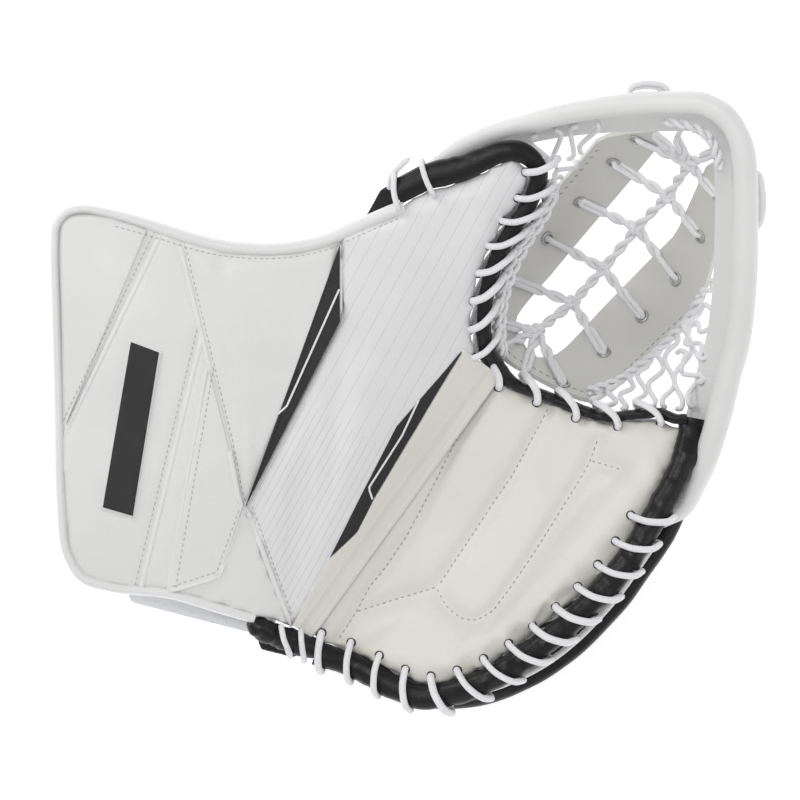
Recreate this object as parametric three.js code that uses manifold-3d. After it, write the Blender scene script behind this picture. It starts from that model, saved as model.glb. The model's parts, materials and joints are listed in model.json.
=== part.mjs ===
// Ice-hockey goalkeeper's catch glove, lying on its back with the palm up.
// Millimetres. +X runs from the cuff to the pocket, +Y to the thumb's side, +Z up.
import * as THREE from 'three';
import { mergeVertices } from 'three/addons/utils/BufferGeometryUtils.js';
import Module from 'manifold-3d';

const wasm = await Module();
wasm.setup();

// ---------------------------------------------------------------- driving dimensions
const GAP = 0.3;                    // between pieces that touch
const LACE_RADIUS = 2;
const LACE_CLEARANCE = 0.45;        // between a lace and what it passes through
const THUMB_HOLES = 8;
const POCKET_HOLES = 5;
const PALM_HOLES = 14;
const THUMB_HOLE_INSET = 3.5;       // from a board's edge to its lace holes
const PALM_HOLE_INSET = 6;
const CELL = 20;                    // grid step of the curved boards
const CUFF_CELL = 32;

const FACE_PAD = 8;                 // thickness of the padded face of a board
const STIFFENER = 2;
const BACK_PAD = 8;
const STACK = FACE_PAD + STIFFENER + BACK_PAD + 2 * GAP;

const HEEL = [-57, -134];           // the fold line's ends
const POCKET_BASE = [51.5, 16];
const FOLD_Z = 79;                  // height of the fold line
const FOLD_GAP = 4.5;               // from the fold line to each board

const THUMB_RISE = 38;              // how far the thumb's board climbs from the fold
const THUMB_RUN = 45;
const THUMB_TIP_SLOPE = 0.17;
const PALM_DIP = 0.27;              // the palm dips, then curls up towards its edge
const PALM_CURL = 0.0042;

const CUFF_BINDING_WIDTH = 6.5;
const BINDING_WIDTH = 9;
const POCKET_BINDING_WIDTH = 4.5;
const BINDING_DROP = 14.5;
const OUTER_ROLL_RADIUS = 5.5;
const OUTER_ROLL_Z = 62;
const PIPING_RADIUS = 1.4;
const SHELL_BELOW_ROLL = 20;        // from the outer roll's centre down to the backhand shell's edge
const SHELL_EDGE_RUN = 50;
const SHELL_THICKNESS = 7;
const LINER_THICKNESS = 3;

const BEAD_RADIUS = 7;
const WALL_TOP_INSET = 5;           // from the bead's centre line to the rim wall's edges
const WALL_FOOT_INSET = 15;
const WALL_DEPTH = 32;
const WALL_THICKNESS = 3;

const STRAP_THICKNESS = 3;
const WEB_FLOOR = 2;                // height of the pocket's lowest line
const WEB_LOW = 270;                // where along the fold's line the pocket is deepest
const WEB_BASE_RISE = 41;
const WEB_BASE_RUN = 65;
const WEB_TOP_RISE = 116;
const WEB_TOP_RUN = 95;
const WEB_MIDDLE = 21;
const EYELET_INNER = 2.9;
const EYELET_OUTER = 4.4;
const EYELET_HEIGHT = 1.2;
const EYELET_STAND_OFF = 1.4;        // clears the strap where it curves

const OVERLAY_THICKNESS = 1.2;
const WRIST_PAD_THICKNESS = 12;
const WRIST_STRAP_WIDTH = 40;
const WRIST_STRAP_THICKNESS = 4;

// ---------------------------------------------------------------- materials
const paint = (color, roughness, metalness = 0) => () =>
  new THREE.MeshStandardMaterial({ color, roughness, metalness });
const whiteLeather = paint(0xeaeae8, 0.45);
const palmLeather = paint(0xe2e0d8, 0.55);
const strapLeather = paint(0xcfcdc6, 0.5);
const blackLeather = paint(0x1d1d1e, 0.35);
const accentLeather = paint(0x474747, 0.5);
const greyLining = paint(0xd2d3d8, 0.9);
const foam = paint(0xd9d9dc, 0.95);
const board = paint(0xf2f2f2, 0.4);
const lace = paint(0xf0f0f2, 0.7);
const metal = paint(0xb8b8b8, 0.3, 1);

// ---------------------------------------------------------------- the glove's own directions
const foldLength = Math.hypot(POCKET_BASE[0] - HEEL[0], POCKET_BASE[1] - HEEL[1]);
const foldX = (POCKET_BASE[0] - HEEL[0]) / foldLength;
const foldY = (POCKET_BASE[1] - HEEL[1]) / foldLength;

/** Distance along the fold line from the heel. */
const along = (x, y) => foldX * (x - HEEL[0]) + foldY * (y - HEEL[1]);
/** Distance from the fold line, positive on the palm side. */
const across = (x, y) => foldY * (x - HEEL[0]) - foldX * (y - HEEL[1]);
/** The point at a distance along the fold line and a distance across it. */
const foldPoint = (v, u) => [HEEL[0] + foldX * v + foldY * u, HEEL[1] + foldY * v - foldX * u];

function thumbFace(x, y) {
  const run = Math.max(0, -across(x, y));
  const rise = THUMB_RISE * (1 - Math.exp(-run / THUMB_RUN));
  return FOLD_Z + rise + THUMB_TIP_SLOPE * Math.max(0, along(x, y) - foldLength);
}

function palmFace(x, y) {
  const run = Math.max(0, across(x, y));
  return FOLD_Z - 2 - PALM_DIP * run + PALM_CURL * run * run;
}

function webTop(x, y) {
  const v = along(x, y) - WEB_LOW;
  const rise = v < 0 ? WEB_BASE_RISE * (v / WEB_BASE_RUN) ** 2 : WEB_TOP_RISE * (v / WEB_TOP_RUN) ** 2;
  return WEB_FLOOR + rise + 14 * ((across(x, y) - WEB_MIDDLE) / 36) ** 2;
}

// ---------------------------------------------------------------- shape helpers
/** Turns a geometry's faces outwards. */
function outward(geometry) {
  const p = geometry.attributes.position;
  const index = geometry.index;
  const a = new THREE.Vector3();
  const b = new THREE.Vector3();
  const c = new THREE.Vector3();
  let volume = 0;
  for (let i = 0; i < index.count; i += 3) {
    a.fromBufferAttribute(p, index.getX(i));
    b.fromBufferAttribute(p, index.getX(i + 1));
    c.fromBufferAttribute(p, index.getX(i + 2));
    volume += a.dot(b.cross(c));
  }
  if (volume < 0) {
    for (let i = 0; i < index.count; i += 3) {
      const first = index.getX(i);
      index.setX(i, index.getX(i + 1));
      index.setX(i + 1, first);
    }
  }
  return geometry;
}

function toSolid(geometry) {
  const plain = geometry.clone();
  plain.deleteAttribute('normal');
  plain.deleteAttribute('uv');
  const merged = outward(mergeVertices(plain, 1e-4));
  return new wasm.Manifold(new wasm.Mesh({
    numProp: 3,
    vertProperties: new Float32Array(merged.attributes.position.array),
    triVerts: new Uint32Array(merged.index.array),
  }));
}

function toGeometry(solid) {
  const mesh = solid.getMesh();
  const geometry = new THREE.BufferGeometry();
  geometry.setAttribute('position', new THREE.BufferAttribute(new Float32Array(mesh.vertProperties), 3));
  geometry.setIndex(new THREE.BufferAttribute(new Uint32Array(mesh.triVerts), 1));
  geometry.computeVertexNormals();
  return geometry;
}

const union = (solids) => solids.reduce((sum, solid) => sum.add(solid));
const cutBy = (solid, cutters) => cutters.reduce((rest, cutter) => rest.subtract(cutter), solid);

/** A straight prism over an outline. */
function prism(outline, low = -60, high = 260) {
  const shape = new THREE.Shape(outline.map(([x, y]) => new THREE.Vector2(x, y)));
  const geometry = new THREE.ExtrudeGeometry(shape, { depth: high - low, bevelEnabled: false });
  geometry.translate(0, 0, low);
  return toSolid(geometry);
}

/** A curved board: the outline's prism between two height functions, on one shared grid. */
function sheet(outline, top, bottom, cell = CELL) {
  const xs = outline.map((point) => point[0]);
  const ys = outline.map((point) => point[1]);
  const first = [Math.floor((Math.min(...xs) - 1) / cell), Math.floor((Math.min(...ys) - 1) / cell)];
  const last = [Math.ceil((Math.max(...xs) + 1) / cell), Math.ceil((Math.max(...ys) + 1) / cell)];
  const geometry = new THREE.BoxGeometry(1, 1, 1, last[0] - first[0], last[1] - first[1], 1);
  const p = geometry.attributes.position;
  for (let i = 0; i < p.count; i++) {
    const x = THREE.MathUtils.lerp(first[0], last[0], p.getX(i) + 0.5) * cell;
    const y = THREE.MathUtils.lerp(first[1], last[1], p.getY(i) + 0.5) * cell;
    p.setXYZ(i, x, y, p.getZ(i) > 0 ? top(x, y) : bottom(x, y));
  }
  // The underside's squares are split along the same diagonal as the top's, so layers nest.
  const { start, count } = geometry.groups[5];
  for (let i = start; i < start + count; i += 6) {
    const [a, b, d, , c] = geometry.index.array.slice(i, i + 6);
    geometry.index.array.set([a, b, c, a, c, d], i);
  }
  return toSolid(geometry).intersect(prism(outline));
}

/** A layer of a board, from one depth below its face to another. */
const layer = (outline, face, from, to, cell = CELL) =>
  sheet(outline, (x, y) => face(x, y) - from, (x, y) => face(x, y) - to, cell);

/** The left-hand normals of an open path. */
function normals(path) {
  return path.map((point, i) => {
    const before = path[Math.max(0, i - 1)];
    const after = path[Math.min(path.length - 1, i + 1)];
    const dx = after[0] - before[0];
    const dy = after[1] - before[1];
    const length = Math.hypot(dx, dy);
    return [-dy / length, dx / length];
  });
}

/** An open path moved sideways, to the left of its direction. */
function beside(path, distance) {
  const sides = normals(path);
  return path.map((point, i) => [point[0] + sides[i][0] * distance, point[1] + sides[i][1] * distance]);
}

/** A block whose vertices are placed by a function of (u, v, w), each from 0 to 1. */
function mapped(columns, rows, place) {
  const geometry = new THREE.BoxGeometry(1, 1, 1, columns, rows, 1);
  const p = geometry.attributes.position;
  for (let i = 0; i < p.count; i++) {
    p.setXYZ(i, ...place(p.getX(i) + 0.5, p.getY(i) + 0.5, p.getZ(i) + 0.5));
  }
  return toSolid(geometry);
}

/** An upright band beside a path: from one sideways distance to another, between two heights. */
function band(path, near, far, top, bottom) {
  const last = path.length - 1;
  const sides = normals(path);
  return mapped(last, 1, (u, v, w) => {
    const i = Math.round(u * last);
    const offset = THREE.MathUtils.lerp(near, far, v);
    const x = path[i][0] + sides[i][0] * offset;
    const y = path[i][1] + sides[i][1] * offset;
    const [edgeX, edgeY] = path[i];
    return [x, y, w > 0.5 ? top(edgeX, edgeY) : bottom(edgeX, edgeY)];
  });
}

const vectors = (points) => points.map((point) => new THREE.Vector3(...point));

/** A round cord with a ring of its own at every point of its route. */
function rope(points, radius = LACE_RADIUS, sides = 5) {
  const route = vectors(points);
  const last = route.length - 1;
  const tangents = route.map((_, i) =>
    route[Math.min(last, i + 1)].clone().sub(route[Math.max(0, i - 1)]).normalize());
  const side = new THREE.Vector3(0.3, 0.2, 0.1).cross(tangents[0]).normalize();
  const sidesAt = tangents.map((tangent) => {
    side.addScaledVector(tangent, -side.dot(tangent)).normalize();
    return side.clone();
  });
  const geometry = new THREE.CylinderGeometry(1, 1, 1, sides, last);
  const p = geometry.attributes.position;
  for (let i = 0; i < p.count; i++) {
    const ring = Math.round((p.getY(i) + 0.5) * last);
    const otherSide = tangents[ring].clone().cross(sidesAt[ring]);
    const place = route[ring].clone();
    place.addScaledVector(sidesAt[ring], p.getX(i) * radius);
    place.addScaledVector(otherSide, p.getZ(i) * radius);
    p.setXYZ(i, place.x, place.y, place.z);
  }
  return toSolid(geometry);
}

/** Extra points between those of a route, on one smooth curve. */
function smooth(points, steps) {
  const curve = new THREE.CatmullRomCurve3(vectors(points), false, 'centripetal');
  return curve.getPoints(steps).map((point) => point.toArray());
}

/** A round roll whose radius changes along its route. */
function roll(points, radiusAt, steps, sides = 8) {
  const path = new THREE.CatmullRomCurve3(vectors(points), false, 'centripetal');
  const frames = path.computeFrenetFrames(steps, false);
  const geometry = new THREE.CylinderGeometry(1, 1, 1, sides, steps);
  const p = geometry.attributes.position;
  for (let i = 0; i < p.count; i++) {
    const step = Math.round((p.getY(i) + 0.5) * steps);
    const radius = radiusAt(step / steps);
    const place = path.getPointAt(step / steps);
    place.addScaledVector(frames.normals[step], p.getX(i) * radius);
    place.addScaledVector(frames.binormals[step], p.getZ(i) * radius);
    p.setXYZ(i, place.x, place.y, place.z);
  }
  return toSolid(geometry);
}

/** A round cutter through a board at a point, along a direction. */
function drill([x, y, z], direction, radius, length = 200) {
  const geometry = new THREE.CylinderGeometry(radius, radius, length, 6);
  geometry.applyQuaternion(new THREE.Quaternion().setFromUnitVectors(new THREE.Vector3(0, 1, 0), direction));
  geometry.translate(x, y, z);
  return toSolid(geometry);
}

/** Points spread evenly over a path, as a route of the same shape. */
function spread(path, count) {
  const curve = new THREE.CatmullRomCurve3(path.map(([x, y]) => new THREE.Vector3(x, y, 0)), false, 'centripetal');
  return Array.from({ length: count }, (_, i) => {
    const point = curve.getPointAt(i / (count - 1));
    return [point.x, point.y];
  });
}

const glove = new THREE.Group();

function add(name, solid, material) {
  const mesh = new THREE.Mesh(toGeometry(solid), material());
  mesh.name = name;
  glove.add(mesh);
}

// ---------------------------------------------------------------- outlines
// The cuff's free edge, from the top right round to the heel.
const cuffEdge = [
  [-4, 112], [-26, 102.5], [-46, 94], [-70, 90], [-97, 91], [-114, 94.5], [-135, 101], [-160, 108], [-181, 111.5],
  [-192, 108.5], [-198.5, 100], [-199.5, 88], [-198.5, 43.5], [-197.3, -2.3], [-196.2, -56], [-193, -87],
  [-183, -103.5], [-164, -110], [-132.7, -113.5], [-108, -121], [-84, -128.5],
];
// The seam between the cuff and the thumb, from the heel up.
const cuffSeam = [[-62.5, -130.5], [-87.5, -60.6], [-34.3, 44.6], [-33, 91.8]];
// The thumb panel's edge: along its top, round the tip and down to the base of the pocket.
const thumbEdge = [
  [0.6, 112], [16.6, 120], [37.2, 125.3], [49.8, 131.5], [58.3, 135.4], [66.9, 136], [72, 133.3], [74.5, 128.5],
  [73.2, 120.7], [69.2, 112], [58.3, 95.5], [49.8, 76.6], [45.2, 58.9], [44, 40], [46, 25],
];
// The palm panel's pocket edge, from the fold outwards, and its outer edge on to the heel.
const palmPocketEdge = [
  [58, 10.5], [68, 5.5], [81.8, 1.1], [100, -6.3], [119.5, -12], [133.3, -10.8], [149.3, -9.8], [157, -13],
];
const palmOuterEdge = [
  [159.5, -20], [157.5, -30.3], [151.5, -44.6], [144.5, -57], [137.3, -69], [128.7, -83.5], [114.4, -102],
  [97.2, -119], [80, -133.8], [63, -146.4], [46, -156.2], [28.6, -162.8], [12.6, -164.8], [0, -160.2],
  [-11.4, -154.4], [-22.9, -148.7], [-34.3, -144.1], [-47, -140],
];
const BEAD_ROUTE = [
  [16.6, 133.3, 98], [38.9, 145.9, 103], [53.8, 152.2, 107], [71.5, 157, 114], [91.5, 161.9, 121], [125.8, 167, 132],
  [152.2, 168.2, 138], [171.6, 167, 141], [185.3, 157.9, 142], [192.8, 144.1, 141], [195.1, 122.4, 138],
  [195.6, 90.4, 132], [195.1, 62.9, 125], [192.2, 34.3, 117], [187, 12.6, 110], [181.9, -10.3, 103],
  [176.8, -28.6, 96], [169.8, -46.3, 88], [163.4, -60, 81], [151.5, -71.5, 73],
];

// ---------------------------------------------------------------- laces that whip the edges
/** A whip lace: up through each hole, over the binding, down outside it and back underneath. */
function whipRoute(path, holes, face, holeInset, bindingWidth, crest) {
  const stops = spread(path, holes);
  const outwards = normals(stops);
  const clear = LACE_RADIUS + LACE_CLEARANCE;
  const outside = bindingWidth + clear + 1.6;
  const route = [];
  for (let i = 0; i < holes; i++) {
    const [x, y] = stops[i];
    const hole = [x - outwards[i][0] * holeInset, y - outwards[i][1] * holeInset];
    const edgeZ = face(x, y);
    const at = (offset, z) => route.push([x + outwards[i][0] * offset, y + outwards[i][1] * offset, z]);
    at(-holeInset, Math.min(edgeZ, face(...hole)) - BINDING_DROP - clear - 1.6);
    at(-holeInset, face(...hole) - FACE_PAD / 2);
    at(-holeInset + 0.2, face(...hole) + clear + 1.3);
    at(bindingWidth / 2, edgeZ + clear + crest);
    at(outside - 0.8, edgeZ + clear + 1.4);
    at(outside, edgeZ - BINDING_DROP + 2);
    at(outside - 1, edgeZ - BINDING_DROP - clear - 0.6);
    at(bindingWidth / 2, edgeZ - BINDING_DROP - clear - 1.8);
  }
  return route;
}

const thumbPocketEdge = thumbEdge.slice(7);
const palmWhippedEdge = palmPocketEdge.slice(0, 7);
const palmRimEdge = palmOuterEdge.slice(4);
const crest = BINDING_WIDTH / 3;
const thumbWhip = whipRoute(thumbPocketEdge, THUMB_HOLES, thumbFace, THUMB_HOLE_INSET, BINDING_WIDTH, crest);
const palmWhip = whipRoute(palmRimEdge, PALM_HOLES, palmFace, PALM_HOLE_INSET, BINDING_WIDTH, crest);
const pocketCrest = POCKET_BINDING_WIDTH / 1.5;
const pocketWhip = whipRoute(
  palmWhippedEdge, POCKET_HOLES, palmFace, THUMB_HOLE_INSET, POCKET_BINDING_WIDTH, pocketCrest,
);
const UPRIGHT = new THREE.Vector3(0, 0, 1);
/** The holes that a whip lace goes up through. */
function whipHoles(edge, holes, inset) {
  const stops = spread(edge, holes);
  return beside(stops, -inset).map(([x, y]) => drill([x, y, FOLD_Z], UPRIGHT, LACE_RADIUS + 1));
}

// ---------------------------------------------------------------- cuff
const cuffOutline = (inset) => [
  ...beside(cuffEdge, inset + GAP).slice(2), ...cuffSeam.map(([x, y]) => [x - GAP, y]),
];
function buildCuff() {
  const outline = cuffOutline(CUFF_BINDING_WIDTH);
  const part = (points, from, to) => layer(points, thumbFace, from, to, CUFF_CELL);
  add('cuff_face_pad', part(outline, 0, FACE_PAD), whiteLeather);
  add('cuff_stiffener', part(outline, FACE_PAD + GAP, FACE_PAD + GAP + STIFFENER), board);
  add('cuff_back_pad', part(outline, STACK - BACK_PAD, STACK), foam);
  const lowest = (x, y) => thumbFace(x, y) - STACK - 0.8;
  const highest = (x, y) => thumbFace(x, y) + 1;
  add('cuff_binding', band(cuffEdge, 0, CUFF_BINDING_WIDTH, highest, lowest), whiteLeather);

  const above = (points) => part(points, -GAP - OVERLAY_THICKNESS, -GAP);
  const corner = [[-190, 88], [-186, 101], [-160, 99.5], [-139, 92.5], [-190, -14]];
  add('cuff_corner_panel', above(corner), whiteLeather);
  const kite = [[-124, 86], [-113, 38], [-108, 18], [-94, -60], [-86, -74], [-104, -98], [-131, -106], [-150, -104]];
  add('cuff_overlay_panel', above([...kite, [-139, -64]]), whiteLeather);
  const badge = [[-169, -61], [-152, -66], [-137, 27], [-153, 33]];
  const badgeFoot = 2 * GAP + OVERLAY_THICKNESS;
  add('cuff_badge', part(badge, -badgeFoot - OVERLAY_THICKNESS, -badgeFoot), blackLeather);
  add('accent_inlay_upper', above([[-35, 84], [-36, 44.6], [-87, -58], [-72, -22], [-47, 44]]), accentLeather);
}

// ---------------------------------------------------------------- wrist
const WRIST_LEFT = -158;
const WRIST_RIGHT = -72;
const WRIST_TOP_Y = 66;
const STRAP_MIDDLE_X = -110;
function buildWrist() {
  // The side wall bulges out below the cuff and turns in under the wrist.
  const wallLine = [[-104, 93], [-116, 84], [-126, 70], [-131, 52], [-129, 32], [-121, 17], [-108, 7]];
  const last = wallLine.length - 1;
  const sides = normals(wallLine);
  add('wrist_side_wall', mapped(5, last, (u, v, w) => {
    const i = Math.round(v * last);
    const x = THREE.MathUtils.lerp(WRIST_LEFT, WRIST_RIGHT, u);
    const slant = THREE.MathUtils.lerp(14, -9, u) * Math.sin((Math.PI * i) / last);
    const inward = w * 5;
    const y = wallLine[i][0] + slant + sides[i][0] * inward;
    const head = thumbFace(x, -113) - STACK - 3;
    const z = wallLine[i][1] + sides[i][1] * inward;
    return [x, y, 7 + (z - 7) * ((head - 7) / (wallLine[0][1] - 7))];
  }), greyLining);
  const pad = [
    [WRIST_LEFT, -98], [WRIST_RIGHT, -98], [WRIST_RIGHT, WRIST_TOP_Y - 6],
    [WRIST_RIGHT - 6, WRIST_TOP_Y], [WRIST_LEFT + 6, WRIST_TOP_Y], [WRIST_LEFT, WRIST_TOP_Y - 6],
  ];
  add('wrist_back_pad', sheet(pad, () => WRIST_PAD_THICKNESS, () => 0, 400), greyLining);

  const half = WRIST_STRAP_WIDTH / 2;
  const footprint = (low, high) => [
    [STRAP_MIDDLE_X - half, low], [STRAP_MIDDLE_X + half, low],
    [STRAP_MIDDLE_X + half, high], [STRAP_MIDDLE_X - half, high],
  ];
  const underCuff = (x, y) => thumbFace(x, y) - STACK - 0.8;
  const tabY = WRIST_TOP_Y - 4;
  add('closure_tab', sheet(footprint(tabY, tabY + 3), underCuff, () => 62, 50), greyLining);
  const hookY = tabY + 3 + GAP;
  add('strap_hook_pad', sheet(footprint(hookY, hookY + 2), () => 88, () => 64, 50), accentLeather);
  const strapY = hookY + 2 + GAP;
  const strap = footprint(strapY, strapY + WRIST_STRAP_THICKNESS);
  add('wrist_strap', sheet(strap, () => 90, () => 3, 50), blackLeather);
}

// ---------------------------------------------------------------- thumb
/** The thumb board's outline, its free edge moved in by a distance. */
const thumbBoard = (inset) => [
  ...beside(cuffEdge.slice(0, 2), CUFF_BINDING_WIDTH + GAP + inset).reverse(),
  ...beside(thumbEdge, -inset),
  foldPoint(183 - inset, -FOLD_GAP),
  foldPoint(4, -FOLD_GAP),
  ...cuffSeam.slice(0, -1).map(([x, y]) => [x + GAP, y]),
  [cuffSeam[3][0] + GAP, cuffSeam[3][1] - inset],
];
const thumbOutline = thumbBoard(0);
// The inner layers stop short of the lace holes.
const thumbInnerOutline = thumbBoard(THUMB_HOLE_INSET + LACE_RADIUS + 1.5);
function buildThumb() {
  const holes = whipHoles(thumbPocketEdge, THUMB_HOLES, THUMB_HOLE_INSET);
  add('thumb_face_pad', cutBy(layer(thumbOutline, thumbFace, 0, FACE_PAD), holes), whiteLeather);
  const inner = (from, to) => layer(thumbInnerOutline, thumbFace, from, to);
  add('thumb_stiffener', inner(FACE_PAD + GAP, FACE_PAD + GAP + STIFFENER), board);
  add('thumb_liner', inner(STACK - BACK_PAD, STACK), foam);
  const top = (x, y) => thumbFace(x, y) + 1;
  const bottom = (x, y) => thumbFace(x, y) - BINDING_DROP;
  add('thumb_binding', band(thumbEdge, GAP, BINDING_WIDTH, top, bottom), blackLeather);
  add('thumb_lacing', rope(thumbWhip), lace);

  const above = (outline) => layer(outline, thumbFace, -GAP - OVERLAY_THICKNESS, -GAP);
  const inlay = [[21.5, 7], [-14, -56], [-38, -88], [-26, -68], [-18.3, -60], [0, -26]];
  add('accent_inlay_lower', above(inlay), accentLeather);

  // The guard behind the thumb, and the wall that joins it to the board.
  const guard = [[-20, 60], [-12, 92], [18, 108], [46, 120], [60, 122], [55, 106], [36, 80], [20, 58]];
  add('thumb_guard', layer(guard, thumbFace, STACK + 42, STACK + 50), whiteLeather);
  const wallPath = [[4, 104.5], [16, 109.5], [45, 121.5], [59, 123.8]];
  const foot = (x, y) => thumbFace(x, y) - STACK - 50;
  const head = (x, y) => thumbFace(x, y) - STACK - 1;
  add('thumb_side_wall', band(wallPath, 1.5, 6, head, foot), whiteLeather);

  const tab = [[-26, 95], [-16.6, 110.4], [-11.4, 120], [-2, 125.8], [0, 118], [-2, 106], [-10, 99]];
  add('upper_tab', layer(tab, thumbFace, STACK + 2, STACK + 6), blackLeather);
  const heelPath = [[-81, -131.5], [-72, -131.5], [-62.5, -133.5]];
  const heelFoot = (x, y) => thumbFace(x, y) - 10;
  add('heel_binding', band(heelPath, -9, -GAP * 2, top, heelFoot), blackLeather);
  const heelTab = [[-82, -139], [-80, -144], [-62, -149], [-58, -147], [-62, -138], [-74, -135]];
  add('heel_tab', layer(heelTab, thumbFace, 12, 17), blackLeather);
}

// ---------------------------------------------------------------- palm
const outerRollPath = [
  [172.5, -46], [165.5, -58], [158, -71], [150, -83], [140, -97.5], [129, -113], [117, -127], [103, -141],
  [86, -154], [68, -163.5], [49, -170.5], [29, -173.5], [12, -172.5], [-3, -168.5], [-20, -159.5], [-36, -151.5],
];
/** The palm board's outline, its pocket edge and its outer edge moved in by a distance each. */
const palmBoard = (pocketInset, outerInset) => [
  foldPoint(183 - pocketInset, FOLD_GAP),
  ...beside(palmPocketEdge, -pocketInset).slice(0, pocketInset > 0 ? -1 : undefined),
  ...beside(palmOuterEdge, -outerInset).slice(outerInset > 0 ? 1 : 0),
  foldPoint(4 + outerInset, FOLD_GAP),
];
const ROLL_DEPTH = 31;              // from the palm's edge down to the outer roll's centre
const rollHeights = beside(outerRollPath, -16.5).map(([x, y]) =>
  Math.min(palmFace(x, y) - ROLL_DEPTH, OUTER_ROLL_Z));

/** Height of the backhand shell's underside: flat in the middle, climbing to the outer roll. */
function shellBottom(x, y) {
  let nearest = Infinity;
  let edge = 0;
  const p = new THREE.Vector2(x, y);
  for (let i = 0; i + 1 < outerRollPath.length; i++) {
    const a = new THREE.Vector2(...outerRollPath[i]);
    const b = new THREE.Vector2(...outerRollPath[i + 1]);
    const t = THREE.MathUtils.clamp(p.clone().sub(a).dot(b.clone().sub(a)) / a.distanceToSquared(b), 0, 1);
    const distance = p.distanceTo(a.lerp(b, t));
    if (distance < nearest) {
      nearest = distance;
      edge = THREE.MathUtils.lerp(rollHeights[i], rollHeights[i + 1], t) - SHELL_BELOW_ROLL;
    }
  }
  return edge * Math.max(0, 1 - nearest / SHELL_EDGE_RUN) ** 2;
}

const shellOutline = [
  ...beside(outerRollPath, -2), foldPoint(6, 16), foldPoint(60, 16), foldPoint(120, 16), foldPoint(184, 18),
  foldPoint(190, 40), foldPoint(194, 70), foldPoint(198, 96),
];
function buildPalm() {
  const holes = [
    ...whipHoles(palmRimEdge, PALM_HOLES, PALM_HOLE_INSET),
    ...whipHoles(palmWhippedEdge, POCKET_HOLES, THUMB_HOLE_INSET),
  ];
  add('palm_face_pad', cutBy(layer(palmBoard(0, 0), palmFace, 0, FACE_PAD), holes), palmLeather);
  const past = LACE_RADIUS + 1.5;
  const palmInnerOutline = palmBoard(THUMB_HOLE_INSET + past, PALM_HOLE_INSET + past);
  const inner = (from, to) => layer(palmInnerOutline, palmFace, from, to);
  add('palm_stiffener', inner(FACE_PAD + GAP, FACE_PAD + GAP + STIFFENER), board);
  add('palm_liner', inner(STACK - BACK_PAD, STACK), foam);
  const top = (x, y) => palmFace(x, y) + 1;
  const bottom = (x, y) => palmFace(x, y) - BINDING_DROP;
  add('palm_binding', band(palmOuterEdge, GAP, BINDING_WIDTH, top, bottom), blackLeather);
  add('palm_pocket_binding', band(palmPocketEdge, GAP, POCKET_BINDING_WIDTH, top, bottom), blackLeather);
  add('palm_lacing', rope(palmWhip), lace);
  add('pocket_lacing', rope(pocketWhip), lace);

  const rollRoute = outerRollPath.map(([x, y], i) => [x, y, rollHeights[i]]);
  const taper = (t) => OUTER_ROLL_RADIUS * Math.min(1, 0.35 + 5 * Math.min(t, 1 - t));
  add('outer_roll', roll(rollRoute, taper, 26), blackLeather);
  const lift = OUTER_ROLL_RADIUS + PIPING_RADIUS + GAP * 2;
  const piping = beside(outerRollPath.slice(3, -1), -4).map(([x, y], i) => [x, y, rollHeights[i + 3] + lift]);
  add('shell_piping', rope(smooth(piping, 26), PIPING_RADIUS), whiteLeather);

  const shellTop = (extra) => (x, y) => {
    const steep = (shellBottom(x + 1, y) - shellBottom(x - 1, y)) / 2;
    const steepY = (shellBottom(x, y + 1) - shellBottom(x, y - 1)) / 2;
    return shellBottom(x, y) + extra * Math.hypot(1, steep, steepY);
  };
  add('backhand_shell', sheet(shellOutline, shellTop(SHELL_THICKNESS), shellBottom), blackLeather);
  const linerOutline = [
    ...beside(outerRollPath.slice(2, -2), -26),
    foldPoint(20, 22), foldPoint(176, 24), foldPoint(182, 60), foldPoint(186, 84),
  ];
  const linerLow = shellTop(SHELL_THICKNESS + GAP * 2);
  add('finger_liner', sheet(linerOutline, (x, y) => linerLow(x, y) + LINER_THICKNESS, linerLow), greyLining);

  // The hand strap arches over the backs of the fingers.
  const archFoot = 17;
  add('hand_strap', mapped(8, 1, (u, v, w) => {
    const run = THREE.MathUtils.lerp(26, 78, u);
    const [x, y] = foldPoint(THREE.MathUtils.lerp(62, 90, v), run);
    const arch = 20 * Math.sin(Math.PI * u);
    return [x, y, archFoot + arch + 2.5 * w];
  }), accentLeather);
}

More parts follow.
